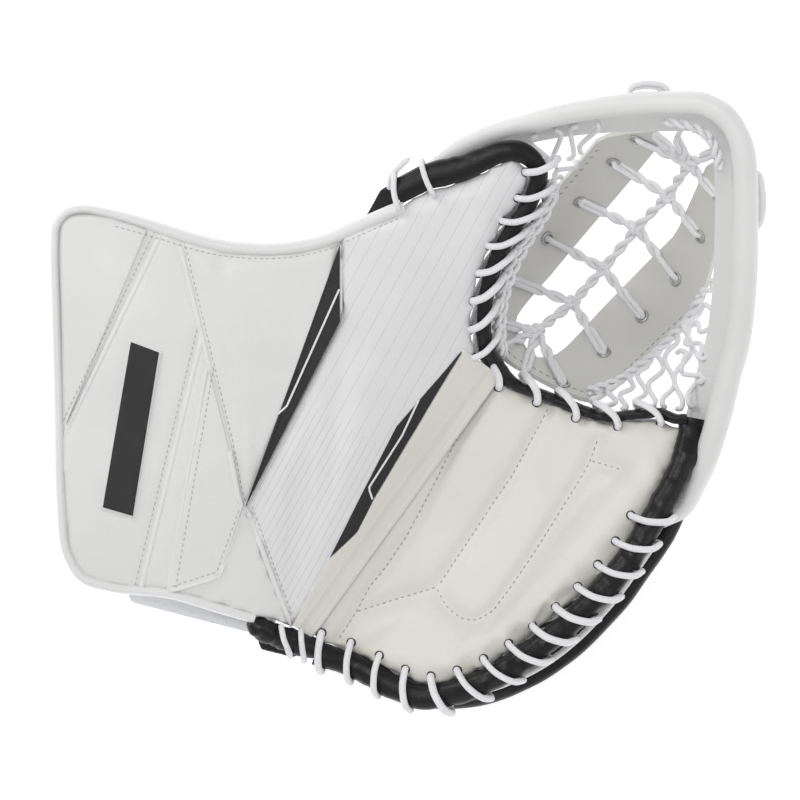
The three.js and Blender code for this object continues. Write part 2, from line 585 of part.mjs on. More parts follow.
// ---------------------------------------------------------------- rim and web
const beadPlan = BEAD_ROUTE.map(([x, y]) => [x, y]);
const RIM_THUMB_COUNT = 4;          // points of the route on the thumb's end
const RIM_WEB_LAST = 15;
function buildRim() {
  const ease = (t) => BEAD_RADIUS * Math.sin((Math.PI / 2) * Math.min(1, 0.3 + t));
  const thumbEnd = BEAD_ROUTE.slice(0, RIM_THUMB_COUNT);
  add('rim_thumb_end', roll(thumbEnd, ease, 7), whiteLeather);
  const [lastX, lastY, lastZ] = BEAD_ROUTE[RIM_THUMB_COUNT - 1];
  // The gaps let the web's part swing past the ends as the glove closes.
  const start = [lastX + 9, lastY + 2.4, lastZ + 3.2];
  const middle = [start, ...BEAD_ROUTE.slice(RIM_THUMB_COUNT, RIM_WEB_LAST), [184.2, 0, 106.2]];
  add('rim_bead', roll(middle, () => BEAD_RADIUS, 28), whiteLeather);
  const palmEnd = [[182.6, -7.6, 103.8], ...BEAD_ROUTE.slice(RIM_WEB_LAST + 1)];
  add('rim_palm_end', roll(palmEnd, (t) => ease(1 - t) * 0.93, 8), whiteLeather);

  const wallPlan = beadPlan.slice(RIM_THUMB_COUNT, RIM_WEB_LAST);
  const wallZ = BEAD_ROUTE.slice(RIM_THUMB_COUNT, RIM_WEB_LAST).map((point) => point[2]);
  const head = beside(wallPlan, -WALL_TOP_INSET);
  const foot = beside(wallPlan, -WALL_FOOT_INSET);
  const last = wallPlan.length - 1;
  add('rim_wall', mapped(last, 2, (u, v, w) => {
    const i = Math.round(u * last);
    const x = THREE.MathUtils.lerp(head[i][0], foot[i][0], v);
    const y = THREE.MathUtils.lerp(head[i][1], foot[i][1], v);
    const z = wallZ[i] - BEAD_RADIUS - 0.6 - WALL_DEPTH * v;
    const thick = WALL_THICKNESS * w;
    return [x + (beadPlan[i + RIM_THUMB_COUNT][0] - foot[i][0]) * 0.06 * thick, y, z - thick * 1.6];
  }), whiteLeather);
}

const strapOneEyelets = [[136, 150], [124.1, 137.9], [105.8, 116.1], [86.4, 95], [65.2, 70.4]];
const strapTwoEyelets = [[182, 118], [174.5, 95.5], [161.9, 70.9], [142.4, 49.2], [119.5, 28], [95, 9.7]];
const slotOutline = [
  [152.7, 150], [114.4, 104.1], [91.5, 76.6], [67.5, 46.3], [68.6, 40], [72.6, 32.6], [76.6, 26.9], [83.5, 24.6],
  [89.8, 26.3], [95, 29.2], [149.9, 85.8], [160.7, 97.2], [165.3, 107.5], [172, 126.4], [176, 150],
];
const webOutline = [
  [126, 163], [112.8, 147.8], [94.5, 126], [75.1, 104.9], [58, 84], [50.5, 66], [50.5, 48], [55, 34], [63, 23.5],
  [76, 16], [90, 8.5], [104, 2.5], [112, 0.5], [133.3, 14.9], [156.2, 36.1], [175, 56], [187, 80], [190, 115], [187, 145],
];
// Knots of the net that fills the slot, from its top to its base.
const slotKnots = [[166, 136], [155.6, 119], [139, 101.2], [120, 77.5], [101.8, 57.2], [80, 40]];

function webNormal(x, y) {
  const dx = (webTop(x + 1, y) - webTop(x - 1, y)) / 2;
  const dy = (webTop(x, y + 1) - webTop(x, y - 1)) / 2;
  return new THREE.Vector3(-dx, -dy, 1).normalize();
}

/** The end of a lace that goes down through an eyelet. */
function throughEyelet([x, y]) {
  const normal = webNormal(x, y);
  const at = (height) => [x + normal.x * height, y + normal.y * height, webTop(x, y) + normal.z * height];
  return [at(6), at(2.5), at(-STRAP_THICKNESS - 2)];
}

function slotLaces() {
  const lift = 3.5;
  const knot = ([x, y]) => [x, y, webTop(x, y) + lift];
  const laces = [rope(smooth(slotKnots.map(knot), 10))];
  const legs = [];
  strapOneEyelets.forEach((eyelet, i) => legs.push([slotKnots[i], eyelet]));
  legs.push([slotKnots[0], strapTwoEyelets[0]]);
  strapTwoEyelets.slice(1).forEach((eyelet, i) => legs.push([slotKnots[i + 1], eyelet]));
  for (const [from, to] of legs) laces.push(rope([knot(from), ...throughEyelet(to)]));
  return laces;
}

function buildWeb() {
  const steep = (x, y) => 1 / webNormal(x, y).z;
  const strap = sheet(webOutline, webTop, (x, y) => webTop(x, y) - STRAP_THICKNESS * steep(x, y), 14);
  // The strap ends at the foot of the rim wall.
  const wallFoot = beside(beadPlan.slice(2, 17), -WALL_FOOT_INSET - 1.5);
  const inside = prism([...wallFoot, [120, -30], [40, -30], [20, 60], [40, 140]]);
  const holes = [...strapOneEyelets, ...strapTwoEyelets].map(([x, y]) =>
    drill([x, y, webTop(x, y)], webNormal(x, y), EYELET_INNER, 24));
  add('web_strap', cutBy(strap.subtract(prism(slotOutline)).intersect(inside), holes), strapLeather);
  add('slot_net', union(slotLaces()), lace);

  const profile = [
    [EYELET_INNER, 0], [EYELET_OUTER, 0], [EYELET_OUTER, EYELET_HEIGHT], [EYELET_INNER, EYELET_HEIGHT], [EYELET_INNER, 0],
  ].map(([r, z]) => new THREE.Vector2(r, z));
  [...strapOneEyelets, ...strapTwoEyelets].forEach(([x, y], i) => {
    const ring = new THREE.LatheGeometry(profile, 8);
    const normal = webNormal(x, y);
    ring.applyQuaternion(new THREE.Quaternion().setFromUnitVectors(new THREE.Vector3(0, 1, 0), normal));
    const stand = EYELET_STAND_OFF;
    ring.translate(x + normal.x * stand, y + normal.y * stand, webTop(x, y) + normal.z * stand);
    add(`web_eyelet_${String(i + 1).padStart(2, '0')}`, toSolid(ring), metal);
  });
}

// ---------------------------------------------------------------- laces of the rim and the perimeter nets
function buildNets() {
  const topLoop = [[131, 172, 124], [131, 177, 127], [138, 178.2, 131], [149, 177.6, 130], [151, 173, 125]];
  add('rim_lace_top', rope(smooth(topLoop, 12)), lace);
  const sideLoop = [[200, 128, 126], [204.6, 126, 130], [205, 113, 131], [204.8, 101, 128], [200, 99, 123]];
  add('rim_lace_side', rope(smooth(sideLoop, 12)), lace);

  // Thumb net: zigzag between the thumb's pocket edge and the web's strap.
  const thumbStops = spread(beside(thumbPocketEdge, BINDING_WIDTH + 2 + 3 * LACE_RADIUS), 9);
  const strapStops = spread([[96, 132], [72, 105.5], [54.5, 84], [47, 66], [47, 46]], 9);
  const zigzag = [];
  thumbStops.forEach(([x, y], i) => {
    zigzag.push([x - 0.5, y, thumbFace(x, y) - 12]);
    zigzag.push([...strapStops[i], webTop(...strapStops[i]) + 10]);
  });
  add('thumb_net', rope(smooth(zigzag, 51)), lace);

  // Palm net: zigzag between the palm's pocket edge and the strap's outer edge.
  const palmStops = spread([[96, 15], [113, 9], [131, 6], [148, 5], [163, 1]], 8);
  const outerStops = spread([[112, -1], [136, 12], [159, 33.5], [174, 50], [176, 62]], 8);
  const weave = [];
  palmStops.forEach(([x, y], i) => {
    weave.push([x, y - 23 + 12 * LACE_RADIUS, palmFace(x, y) - 4 - 2 * LACE_RADIUS]);
    weave.push([outerStops[i][0] + 2.5, outerStops[i][1] - 2.5, webTop(...outerStops[i]) + 14]);
  });
  add('palm_net', rope(smooth(weave, 45)), lace);

  const half = FOLD_GAP - 1;
  const gusset = [foldPoint(8, -half), foldPoint(178, -half), foldPoint(178, half), foldPoint(8, half)];
  add('break_gusset', sheet(gusset, () => FOLD_Z - 1, () => FOLD_Z - 4, 60), palmLeather);
}

buildCuff();
buildWrist();
buildThumb();
buildPalm();
buildRim();
buildWeb();
buildNets();

// The origin is under the middle of the whole glove, on the surface it lies on.
const extent = new THREE.Box3().setFromObject(glove);
glove.position.set(-(extent.min.x + extent.max.x) / 2, -(extent.min.y + extent.max.y) / 2, -extent.min.z);

export default glove;
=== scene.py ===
# %% [markdown]
# # A goalkeeper's catch glove
# The glove lies on its back with the palm up, on a pale floor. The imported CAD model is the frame:
# it says where every piece is and which body it moves with. The looks are made around it here.
# Most of the glove is padded leather, so the boards are inflated like cushions, the edges are
# rolled bindings, and the pocket is hung on laces.

# %% Load the frame and keep its size
import json
import math
import bpy
import bmesh
import numpy as np
from mathutils import Matrix, Vector, noise
from mathutils.bvhtree import BVHTree

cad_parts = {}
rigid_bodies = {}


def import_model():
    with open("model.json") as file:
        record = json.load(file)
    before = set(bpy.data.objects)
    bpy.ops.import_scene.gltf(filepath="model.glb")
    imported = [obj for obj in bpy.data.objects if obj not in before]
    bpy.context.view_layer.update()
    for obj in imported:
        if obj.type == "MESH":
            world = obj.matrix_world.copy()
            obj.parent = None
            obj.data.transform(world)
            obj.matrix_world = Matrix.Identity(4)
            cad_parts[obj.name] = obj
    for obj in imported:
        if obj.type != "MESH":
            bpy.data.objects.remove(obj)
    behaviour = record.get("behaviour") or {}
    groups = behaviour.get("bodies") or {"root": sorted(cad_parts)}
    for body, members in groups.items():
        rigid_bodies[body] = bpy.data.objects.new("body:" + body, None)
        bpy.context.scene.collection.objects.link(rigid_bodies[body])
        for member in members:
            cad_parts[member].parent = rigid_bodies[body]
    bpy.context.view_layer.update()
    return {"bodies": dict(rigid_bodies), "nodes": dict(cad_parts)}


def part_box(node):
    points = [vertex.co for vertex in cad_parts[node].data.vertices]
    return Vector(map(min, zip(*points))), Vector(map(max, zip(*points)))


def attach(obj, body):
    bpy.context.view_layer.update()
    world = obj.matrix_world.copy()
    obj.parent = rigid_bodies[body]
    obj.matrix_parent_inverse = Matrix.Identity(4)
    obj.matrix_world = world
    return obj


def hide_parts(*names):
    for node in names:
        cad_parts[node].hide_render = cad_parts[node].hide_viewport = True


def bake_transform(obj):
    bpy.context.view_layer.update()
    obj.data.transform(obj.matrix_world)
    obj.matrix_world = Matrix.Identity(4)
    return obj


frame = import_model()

print("bodies:", ", ".join(frame["bodies"]))

# %% [markdown]
# ## The glove's own directions
# The pattern of a glove is drawn flat, in millimetres, so every outline below is too. One line
# of the pattern matters most: the fold that runs from the heel to the base of the pocket. Each
# board's height depends on how far a point is along that fold and across it.

# %% Millimetres on the pattern, metres in the scene
pad_low, pad_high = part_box("wrist_back_pad")
PAD_MIDDLE = (-115.0, -16.0)
SHIFT_X = (pad_low[0] + pad_high[0]) * 500 - PAD_MIDDLE[0]
SHIFT_Y = (pad_low[1] + pad_high[1]) * 500 - PAD_MIDDLE[1]
HEEL = np.array((-57.0, -134.0))
POCKET_BASE = np.array((51.5, 16.0))
FOLD_LENGTH = float(np.linalg.norm(POCKET_BASE - HEEL))
FOLD = (POCKET_BASE - HEEL) / FOLD_LENGTH
FOLD_Z = 79.0


def place(x, y, z):
    return Vector(((x + SHIFT_X) / 1000, (y + SHIFT_Y) / 1000, z / 1000))


def along(x, y):
    return FOLD[0] * (x - HEEL[0]) + FOLD[1] * (y - HEEL[1])


def across(x, y):
    return FOLD[1] * (x - HEEL[0]) - FOLD[0] * (y - HEEL[1])


def on_fold(v, u):
    return (HEEL[0] + FOLD[0] * v + FOLD[1] * u, HEEL[1] + FOLD[1] * v - FOLD[0] * u)


print("pattern's shift, mm:", round(SHIFT_X, 3), round(SHIFT_Y, 3))


# %% The three faces: thumb, palm and pocket
def thumb_face(x, y):
    rise = 38 * (1 - math.exp(-max(0, -across(x, y)) / 45))
    return FOLD_Z + rise + 0.17 * max(0, along(x, y) - FOLD_LENGTH)


def palm_face(x, y):
    run = max(0, across(x, y))
    return FOLD_Z - 2 - 0.27 * run + 0.0042 * run * run


def web_top(x, y):
    v = along(x, y) - 270
    rise = 41 * (v / 65) ** 2 if v < 0 else 116 * (v / 95) ** 2
    return 2 + rise + 14 * ((across(x, y) - 21) / 36) ** 2


# %% [markdown]
# ## Lines of the pattern
# These are the edges that the maker would cut and sew: the cuff's free edge, the thumb's edge
# round its tip, the palm's pocket edge and outer edge, and the route of the rim.

# %% Outlines
CUFF_EDGE = [
    (-4, 112), (-26, 102.5), (-46, 94), (-70, 90), (-97, 91), (-114, 94.5), (-135, 101), (-160, 108),
    (-181, 111.5), (-192, 108.5), (-198.5, 100), (-199.5, 88), (-198.5, 43.5), (-197.3, -2.3),
    (-196.2, -56), (-193, -87), (-183, -103.5), (-164, -110), (-132.7, -113.5), (-108, -121), (-84, -128.5),
]
CUFF_SEAM = [(-62.5, -130.5), (-87.5, -60.6), (-34.3, 44.6), (-33, 91.8)]
THUMB_EDGE = [
    (0.6, 112), (16.6, 120), (37.2, 125.3), (49.8, 131.5), (58.3, 135.4), (66.9, 136), (72, 133.3),
    (74.5, 128.5), (73.2, 120.7), (69.2, 112), (58.3, 95.5), (49.8, 76.6), (45.2, 58.9), (44, 40), (46, 25),
]
PALM_POCKET_EDGE = [
    (58, 10.5), (68, 5.5), (81.8, 1.1), (100, -6.3), (119.5, -12), (133.3, -10.8), (149.3, -9.8), (157, -13),
]
PALM_OUTER_EDGE = [
    (159.5, -20), (157.5, -30.3), (151.5, -44.6), (144.5, -57), (137.3, -69), (128.7, -83.5), (114.4, -102),
    (97.2, -119), (80, -133.8), (63, -146.4), (46, -156.2), (28.6, -162.8), (12.6, -164.8), (0, -160.2),
    (-11.4, -154.4), (-22.9, -148.7), (-34.3, -144.1), (-47, -140),
]
BEAD_ROUTE = [
    (16.6, 133.3, 98), (38.9, 145.9, 103), (53.8, 152.2, 107), (71.5, 157, 114), (91.5, 161.9, 121),
    (125.8, 167, 132), (152.2, 168.2, 138), (171.6, 167, 141), (185.3, 157.9, 142), (192.8, 144.1, 141),
    (195.1, 122.4, 138), (195.6, 90.4, 132), (195.1, 62.9, 125), (192.2, 34.3, 117), (187, 12.6, 110),
    (181.9, -10.3, 103), (176.8, -28.6, 96), (169.8, -46.3, 88), (163.4, -60, 81), (151.5, -71.5, 73),
]
OUTER_ROLL = [
    (172.5, -46), (165.5, -58), (158, -71), (150, -83), (140, -97.5), (129, -113), (117, -127), (103, -141),
    (86, -154), (68, -163.5), (49, -170.5), (29, -173.5), (12, -172.5), (-3, -168.5), (-20, -159.5), (-36, -151.5),
]


# %% Smooth, even points on a line, and lines beside it
def flow(points, step=None, count=None):
    """Evenly spaced points on one smooth curve through the given ones."""
    p = np.array(points, float)
    wide = np.vstack([2 * p[0] - p[1], p, 2 * p[-1] - p[-2]])
    fine = []
    for i in range(len(p) - 1):
        a, b, c, d = wide[i:i + 4]
        ta = 0.0
        tb = ta + math.sqrt(np.linalg.norm(b - a))
        tc = tb + math.sqrt(np.linalg.norm(c - b))
        td = tc + math.sqrt(np.linalg.norm(d - c))
        for t in np.linspace(tb, tc, 14, endpoint=False):
            ab = (tb - t) / (tb - ta) * a + (t - ta) / (tb - ta) * b
            bc = (tc - t) / (tc - tb) * b + (t - tb) / (tc - tb) * c
            cd = (td - t) / (td - tc) * c + (t - tc) / (td - tc) * d
            low = (tc - t) / (tc - ta) * ab + (t - ta) / (tc - ta) * bc
            high = (td - t) / (td - tb) * bc + (t - tb) / (td - tb) * cd
            fine.append((tc - t) / (tc - tb) * low + (t - tb) / (tc - tb) * high)
    fine.append(p[-1])
    return even(fine, step, count)


def even(points, step=None, count=None):
    """Evenly spaced points on a line of straight stretches."""
    p = np.array(points, float)
    run = np.concatenate([[0], np.cumsum(np.linalg.norm(np.diff(p, axis=0), axis=1))])
    count = count or max(2, round(run[-1] / step) + 1)
    at = np.linspace(0, run[-1], count)
    return np.column_stack([np.interp(at, run, p[:, k]) for k in range(p.shape[1])])


def sideways(path):
    """The left-hand normals of a flat path."""
    p = np.array(path, float)[:, :2]
    d = np.empty_like(p)
    d[1:-1] = p[2:] - p[:-2]
    d[0] = p[1] - p[0]
    d[-1] = p[-1] - p[-2]
    d /= np.linalg.norm(d, axis=1)[:, None]
    return np.column_stack([-d[:, 1], d[:, 0]])


def beside(path, distance):
    p = np.array(path, float)[:, :2]
    return p + sideways(p) * np.reshape(distance, (-1, 1))


print("cuff's edge, mm:", round(float(np.sum(np.linalg.norm(np.diff(np.array(CUFF_EDGE), axis=0), axis=1)))))

# %% [markdown]
# ## Camera, light and floor
# The glove is looked at from straight above. A long lens keeps its sides square, and the light
# comes from large soft panels, as in a catalogue: white leather needs broad light and only
# little shade to show its grain and seams.

# %% Camera
VIEW_WIDTH = 0.4576
CAMERA_HEIGHT = 3.1
camera_data = bpy.data.cameras.new("camera")
camera = bpy.data.objects.new("camera", camera_data)
bpy.context.scene.collection.objects.link(camera)
camera.location = (SHIFT_X / 1000, SHIFT_Y / 1000, CAMERA_HEIGHT)
camera_data.sensor_width = 36
camera_data.lens = 36 * (CAMERA_HEIGHT - 0.1) / VIEW_WIDTH
bpy.context.scene.camera = camera
bpy.context.scene.view_settings.view_transform = "Standard"
print("lens, mm:", round(camera_data.lens))


# %% Soft panels of light
GLOVE_MIDDLE = Vector((0, 0, 0.05))


def light_panel(name, location, size, power):
    data = bpy.data.lights.new(name, "AREA")
    data.shape = "RECTANGLE"
    data.size, data.size_y = size
    data.energy = power
    lamp = bpy.data.objects.new(name, data)
    bpy.context.scene.collection.objects.link(lamp)
    lamp.location = location
    lamp.rotation_euler = (GLOVE_MIDDLE - Vector(location)).to_track_quat("-Z", "Y").to_euler()


light_panel("light_above", (-0.7, 0.9, 4.2), (1.3, 1.3), 36)
light_panel("light_upper_left", (-1.2, 1.1, 1.1), (0.8, 0.8), 8)
light_panel("light_right", (1.3, -0.2, 1.0), (0.8, 1.2), 3)
light_panel("light_lower", (-0.2, -1.3, 0.8), (1.2, 0.6), 2)
world = bpy.data.worlds.new("studio")
bpy.context.scene.world = world
world.use_nodes = True
world.node_tree.nodes["Background"].inputs["Color"].default_value = (1, 1, 1, 1)
world.node_tree.nodes["Background"].inputs["Strength"].default_value = 0.5

# %% [markdown]
# ## Finishes
# Every finish is built from nodes on the piece's own coordinates. A small class sets the
# constant values straight on the shader, and each finish adds its colour drift, its grain and
# its bump.


# %% A blank finish with its noise
class Finish:
    """A material in the making: its shader, its coordinates and short calls for its nodes."""

    def __init__(self, name, rough=0.5, **fixed):
        self.material = bpy.data.materials.new(name)
        self.material.use_nodes = True
        self.nodes = self.material.node_tree.nodes
        self.shader = self.nodes["Principled BSDF"]
        self.shader.inputs["Roughness"].default_value = rough
        for socket, value in fixed.items():
            self.shader.inputs[socket.replace("_", " ")].default_value = value
        self.coordinates = self.nodes.new("ShaderNodeTexCoord")
        self.height = None

    def join(self, start, end):
        self.material.node_tree.links.new(start, end)

    def node(self, kind, values=None, links=None, **settings):
        node = self.nodes.new(kind)
        for key, value in settings.items():
            setattr(node, key, value)
        for key, value in (values or {}).items():
            node.inputs[key].default_value = value
        for key, value in (links or {}).items():
            self.join(value, node.inputs[key])
        return node

    def grain(self, scale, detail=2.0, kind="noise"):
        where = self.coordinates.outputs["Object"]
        if kind == "noise":
            values = {"Scale": scale, "Detail": detail}
            return self.node("ShaderNodeTexNoise", values, {"Vector": where}).outputs[0]
        cells = self.node("ShaderNodeTexVoronoi", {"Scale": scale}, {"Vector": where})
        return cells.outputs["Distance"]

    def ramp(self, factor, stops):
        ramp = self.node("ShaderNodeValToRGB", links={"Fac": factor})
        elements = ramp.color_ramp.elements
        while len(elements) < len(stops):
            elements.new(0.5)
        for element, (position, colour) in zip(elements, stops):
            element.position = position
            element.color = (*colour, 1) if len(colour) == 3 else colour
        return ramp.outputs["Color"]

    def measure(self, angle):
        """Distance over the piece in one level direction, in metres."""
        place_on = {0: self.coordinates.outputs["Object"]}
        node = self.node("ShaderNodeVectorMath", operation="DOT_PRODUCT", links=place_on)
        node.inputs[1].default_value = (math.cos(angle), math.sin(angle), 0)
        return node.outputs["Value"]

    def math(self, operation, a, b=None):
        node = self.node("ShaderNodeMath", operation=operation)
        for i, value in enumerate((a, b)):
            if isinstance(value, (int, float)):
                node.inputs[i].default_value = value
            elif value is not None:
                self.join(value, node.inputs[i])
        return node.outputs[0]

    def mix(self, factor, a, b):
        node = self.node("ShaderNodeMix", data_type="RGBA")
        for index, value in ((0, factor), (6, a), (7, b)):
            if isinstance(value, (int, float)):
                node.inputs[index].default_value = value
            elif isinstance(value, tuple):
                node.inputs[index].default_value = (*value, 1)
            else:
                self.join(value, node.inputs[index])
        return node.outputs[2]

    def colour(self, value):
        if isinstance(value, tuple):
            self.shader.inputs["Base Color"].default_value = (*value, 1)
        else:
            self.join(value, self.shader.inputs["Base Color"])

    def bump(self, height, strength, distance=0.001):
        links = {"Height": height}
        if self.height:
            links["Normal"] = self.height
        node = self.node("ShaderNodeBump", {"Strength": strength, "Distance": distance}, links)
        self.height = node.outputs["Normal"]
        self.join(self.height, self.shader.inputs["Normal"])


# %% [markdown]
# ### Leather
# Synthetic glove leather has a fine pebble grain with the odd soft crease. The grain is two
# sizes of cells and noise in the bump, and the colour drifts a few hundredths over the panel.
# The palm is warmer than the cuff, and the straps of the pocket are greyer.


# %% Leather in its colours
PEBBLE = 0.25   # strength of the pebble grain


def leather(name, colour, drift=0.05, rough=0.42, coat=0.06, creases=0.25, shine=0.5):
    finish = Finish(name, rough, Coat_Weight=coat, Coat_Roughness=0.35, Specular_IOR_Level=shine)
    cloud = finish.grain(14, 3)
    light = tuple(min(1, c * (1 + drift * 0.5)) for c in colour)
    dark = tuple(c * (1 - drift) for c in colour)
    finish.colour(finish.ramp(cloud, [(0.3, dark), (0.7, light)]))
    uneven = finish.ramp(finish.grain(60, 2), [(0.3, (rough - 0.06,) * 3), (0.7, (rough + 0.08,) * 3)])
    finish.join(uneven, finish.shader.inputs["Roughness"])
    finish.bump(finish.grain(55, 4), creases, 0.0012)
    finish.bump(finish.grain(900, 1, "cells"), PEBBLE, 0.00035)
    finish.bump(finish.grain(2200, 2), PEBBLE * 0.7, 0.0002)
    return finish


WHITE = leather("white leather", (0.80, 0.80, 0.795)).material
WHITE_EDGE = leather("white binding leather", (0.83, 0.83, 0.825), rough=0.38, creases=0.4).material
PALM = leather("palm leather", (0.79, 0.78, 0.725), rough=0.5, creases=0.5).material
STRAP = leather("strap leather", (0.70, 0.695, 0.665), rough=0.46).material
BLACK = leather("black leather", (0.007, 0.007, 0.008), drift=0.2, rough=0.36, coat=0.02, creases=0.3,
                shine=0.35).material
ACCENT = leather("charcoal leather", (0.03, 0.03, 0.032), drift=0.12, rough=0.5, coat=0.0,
                 shine=0.3).material
SHELL = leather("backhand leather", (0.012, 0.012, 0.0135), drift=0.2, rough=0.42, coat=0.02, creases=0.6,
                shine=0.35).material
print("leathers:", len(bpy.data.materials))


# %% The thumb panel's pinstripes
def pinstriped():
    finish = leather("pinstriped leather", (0.84, 0.84, 0.85), rough=0.4)
    spacing = 0.0076    # metres between two lines
    width = 0.06        # of a line, as a share of the spacing
    doubled_below = -0.03
    fold_angle = math.radians(61)
    phase = finish.math("FRACT", finish.math("DIVIDE", finish.measure(fold_angle - math.pi / 2), spacing))
    line = finish.math("LESS_THAN", phase, width)
    # Nearer the heel a second line runs between each two.
    lower = finish.math("LESS_THAN", finish.measure(fold_angle), doubled_below)
    between = finish.math("COMPARE", phase, 0.5 + width / 2)
    between.node.inputs[2].default_value = width / 2
    line = finish.math("MAXIMUM", line, finish.math("MULTIPLY", lower, between))
    patchy = finish.ramp(finish.grain(120, 3), [(0.25, (0.25,) * 3), (0.6, (0.6,) * 3)])
    worn = finish.math("MULTIPLY", line, patchy)
    plain = finish.shader.inputs["Base Color"].links[0].from_socket
    finish.colour(finish.mix(worn, plain, (0.56, 0.56, 0.60)))
    finish.bump(finish.math("SUBTRACT", 1.0, line), 0.2, 0.0002)
    return finish.material


PINSTRIPED = pinstriped()


# %% [markdown]
# ### Lace, thread, lining, foam, board and metal
# A flat-braided lace shows small slanted picks, so its bump comes from two crossed waves on
# the lace's own map: once round it and along its length. Lining is brushed knit, foam has open
# cells, and the eyelets are nickelled brass.


# %% Lace, thread and lining
def braided(name, colour, picks):
    finish = Finish(name, 0.6, Sheen_Weight=0.3, Sheen_Roughness=0.5)
    split = finish.node("ShaderNodeSeparateXYZ", links={0: finish.coordinates.outputs["UV"]})
    lengths, turns = split.outputs[0], split.outputs[1]
    waves = []
    for hand in (1, -1):
        round_it = finish.math("MULTIPLY", turns, 6.0 * hand)
        slant = finish.math("ADD", finish.math("MULTIPLY", lengths, picks), round_it)
        waves.append(finish.math("SINE", finish.math("MULTIPLY", slant, math.tau)))
    braid = finish.math("MULTIPLY", waves[0], waves[1])
    # Painted shade: the braid's low parts get a darker colour, standing in for the shade between the picks
    shade = tuple(c * 0.95 for c in colour)
    share = finish.math("ADD", finish.math("MULTIPLY", braid, 0.5), 0.5)
    finish.colour(finish.ramp(share, [(0.0, shade), (0.8, colour)]))
    finish.bump(braid, 0.45, 0.0004)
    finish.bump(finish.grain(1500, 2), 0.2, 0.0002)
    return finish.material


LACE = braided("white lace", (0.94, 0.94, 0.96), 4.0)
THREAD = leather("grey green thread", (0.34, 0.35, 0.30), rough=0.7, coat=0).material
PALE_THREAD = leather("pale thread", (0.50, 0.50, 0.47), rough=0.7, coat=0).material
BLACK_THREAD = leather("black thread", (0.006, 0.006, 0.006), rough=0.6, coat=0).material
# Painted shade: this near-black finish rings each lace hole and stands for the shadow in the hole
HOLE_SHADOW = leather("painted hole shadow", (0.03, 0.03, 0.03), rough=0.8, coat=0).material


def brushed(name, colour, scale):
    finish = Finish(name, 0.9, Sheen_Weight=0.35, Sheen_Roughness=0.6)
    knit = finish.node("ShaderNodeTexWave", {"Scale": scale, "Distortion": 1.2, "Detail": 2.0},
                       {"Vector": finish.coordinates.outputs["Object"]})
    fuzz = finish.grain(700, 4)
    finish.colour(finish.ramp(fuzz, [(0.3, tuple(c * 0.85 for c in colour)), (0.7, colour)]))
    finish.bump(knit.outputs["Fac"], 0.25, 0.0005)
    finish.bump(fuzz, 0.4, 0.0005)
    return finish.material


LINING = brushed("brushed lining", (0.68, 0.69, 0.73), 160)
FOAM = brushed("backing foam", (0.66, 0.66, 0.68), 60)
LOOP = brushed("hook and loop tape", (0.05, 0.05, 0.052), 420)


# %% Board and metal
def plain_board():
    finish = Finish("stiffener board", 0.4)
    finish.colour(finish.ramp(finish.grain(25, 3), [(0.3, (0.74, 0.74, 0.73)), (0.7, (0.84, 0.84, 0.83))]))
    finish.bump(finish.grain(500, 2), 0.15, 0.0003)
    return finish.material


def nickel():
    finish = Finish("nickelled metal", 0.28, Metallic=1.0)
    finish.colour(finish.ramp(finish.grain(400, 3), [(0.3, (0.42, 0.42, 0.42)), (0.7, (0.66, 0.66, 0.65))]))
    finish.bump(finish.grain(1800, 2), 0.15, 0.0002)
    return finish.material


BOARD = plain_board()
METAL = nickel()
print("finishes:", ", ".join(m.name for m in bpy.data.materials if m.users or m.use_nodes))

# %% [markdown]
# ## Tools of the bench
# Four ways of making a piece repeat all over the glove, so each gets one helper: a panel cut
# to an outline and laid over a face, a strip wrapped round an edge, a cord along a route, and
# stitches set into a surface.


# %% Small helpers for operators
def lone(piece):
    """Selects one object and nothing else."""
    for other in bpy.context.view_layer.objects.selected[:]:
        other.select_set(False)
    piece.select_set(True)
    bpy.context.view_layer.objects.active = piece


def settle(piece, name, finish):
    """Gives a piece its name, one finish and smooth faces."""
    piece.name = piece.data.name = name
    piece.data.materials.clear()
    piece.data.materials.append(finish)
    piece.data.shade_smooth()
    return piece


def apply_all(piece):
    lone(piece)
    for modifier in piece.modifiers[:]:
        bpy.ops.object.modifier_apply(modifier=modifier.name)


def refresh(piece):
    """Moves the vertices of a mesh from pattern millimetres to their place in the scene."""
    co = vertices_of(piece)
    co[:, 0] += SHIFT_X
    co[:, 1] += SHIFT_Y
    put(piece, co / 1000)


def vertices_of(piece):
    co = np.empty(len(piece.data.vertices) * 3)
    piece.data.vertices.foreach_get("co", co)
    return co.reshape(-1, 3)


def put(piece, co):
    piece.data.vertices.foreach_set("co", np.ascontiguousarray(co, dtype=float).ravel())
    piece.data.update()


def declare(piece, body, slot, *nodes):
    """Rides on a body, or with two bodies stays baked in place on neither; stands for CAD nodes. The slot is not used.
    """
    if isinstance(body, tuple):
        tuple(body[2])
        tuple(body[3])
        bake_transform(piece)
    else:
        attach(piece, body)
    if nodes:
        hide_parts(*nodes)
    print(piece.name, len(piece.data.polygons), "faces")
    return piece


# %% [markdown]
# ### A panel
# A leather panel starts as a filled circle with one vertex for each point of its outline. Its
# vertices are moved onto the outline, cuts at even steps give it a grid, and the grid is laid
# over the face of the glove. Solidify makes its thickness.


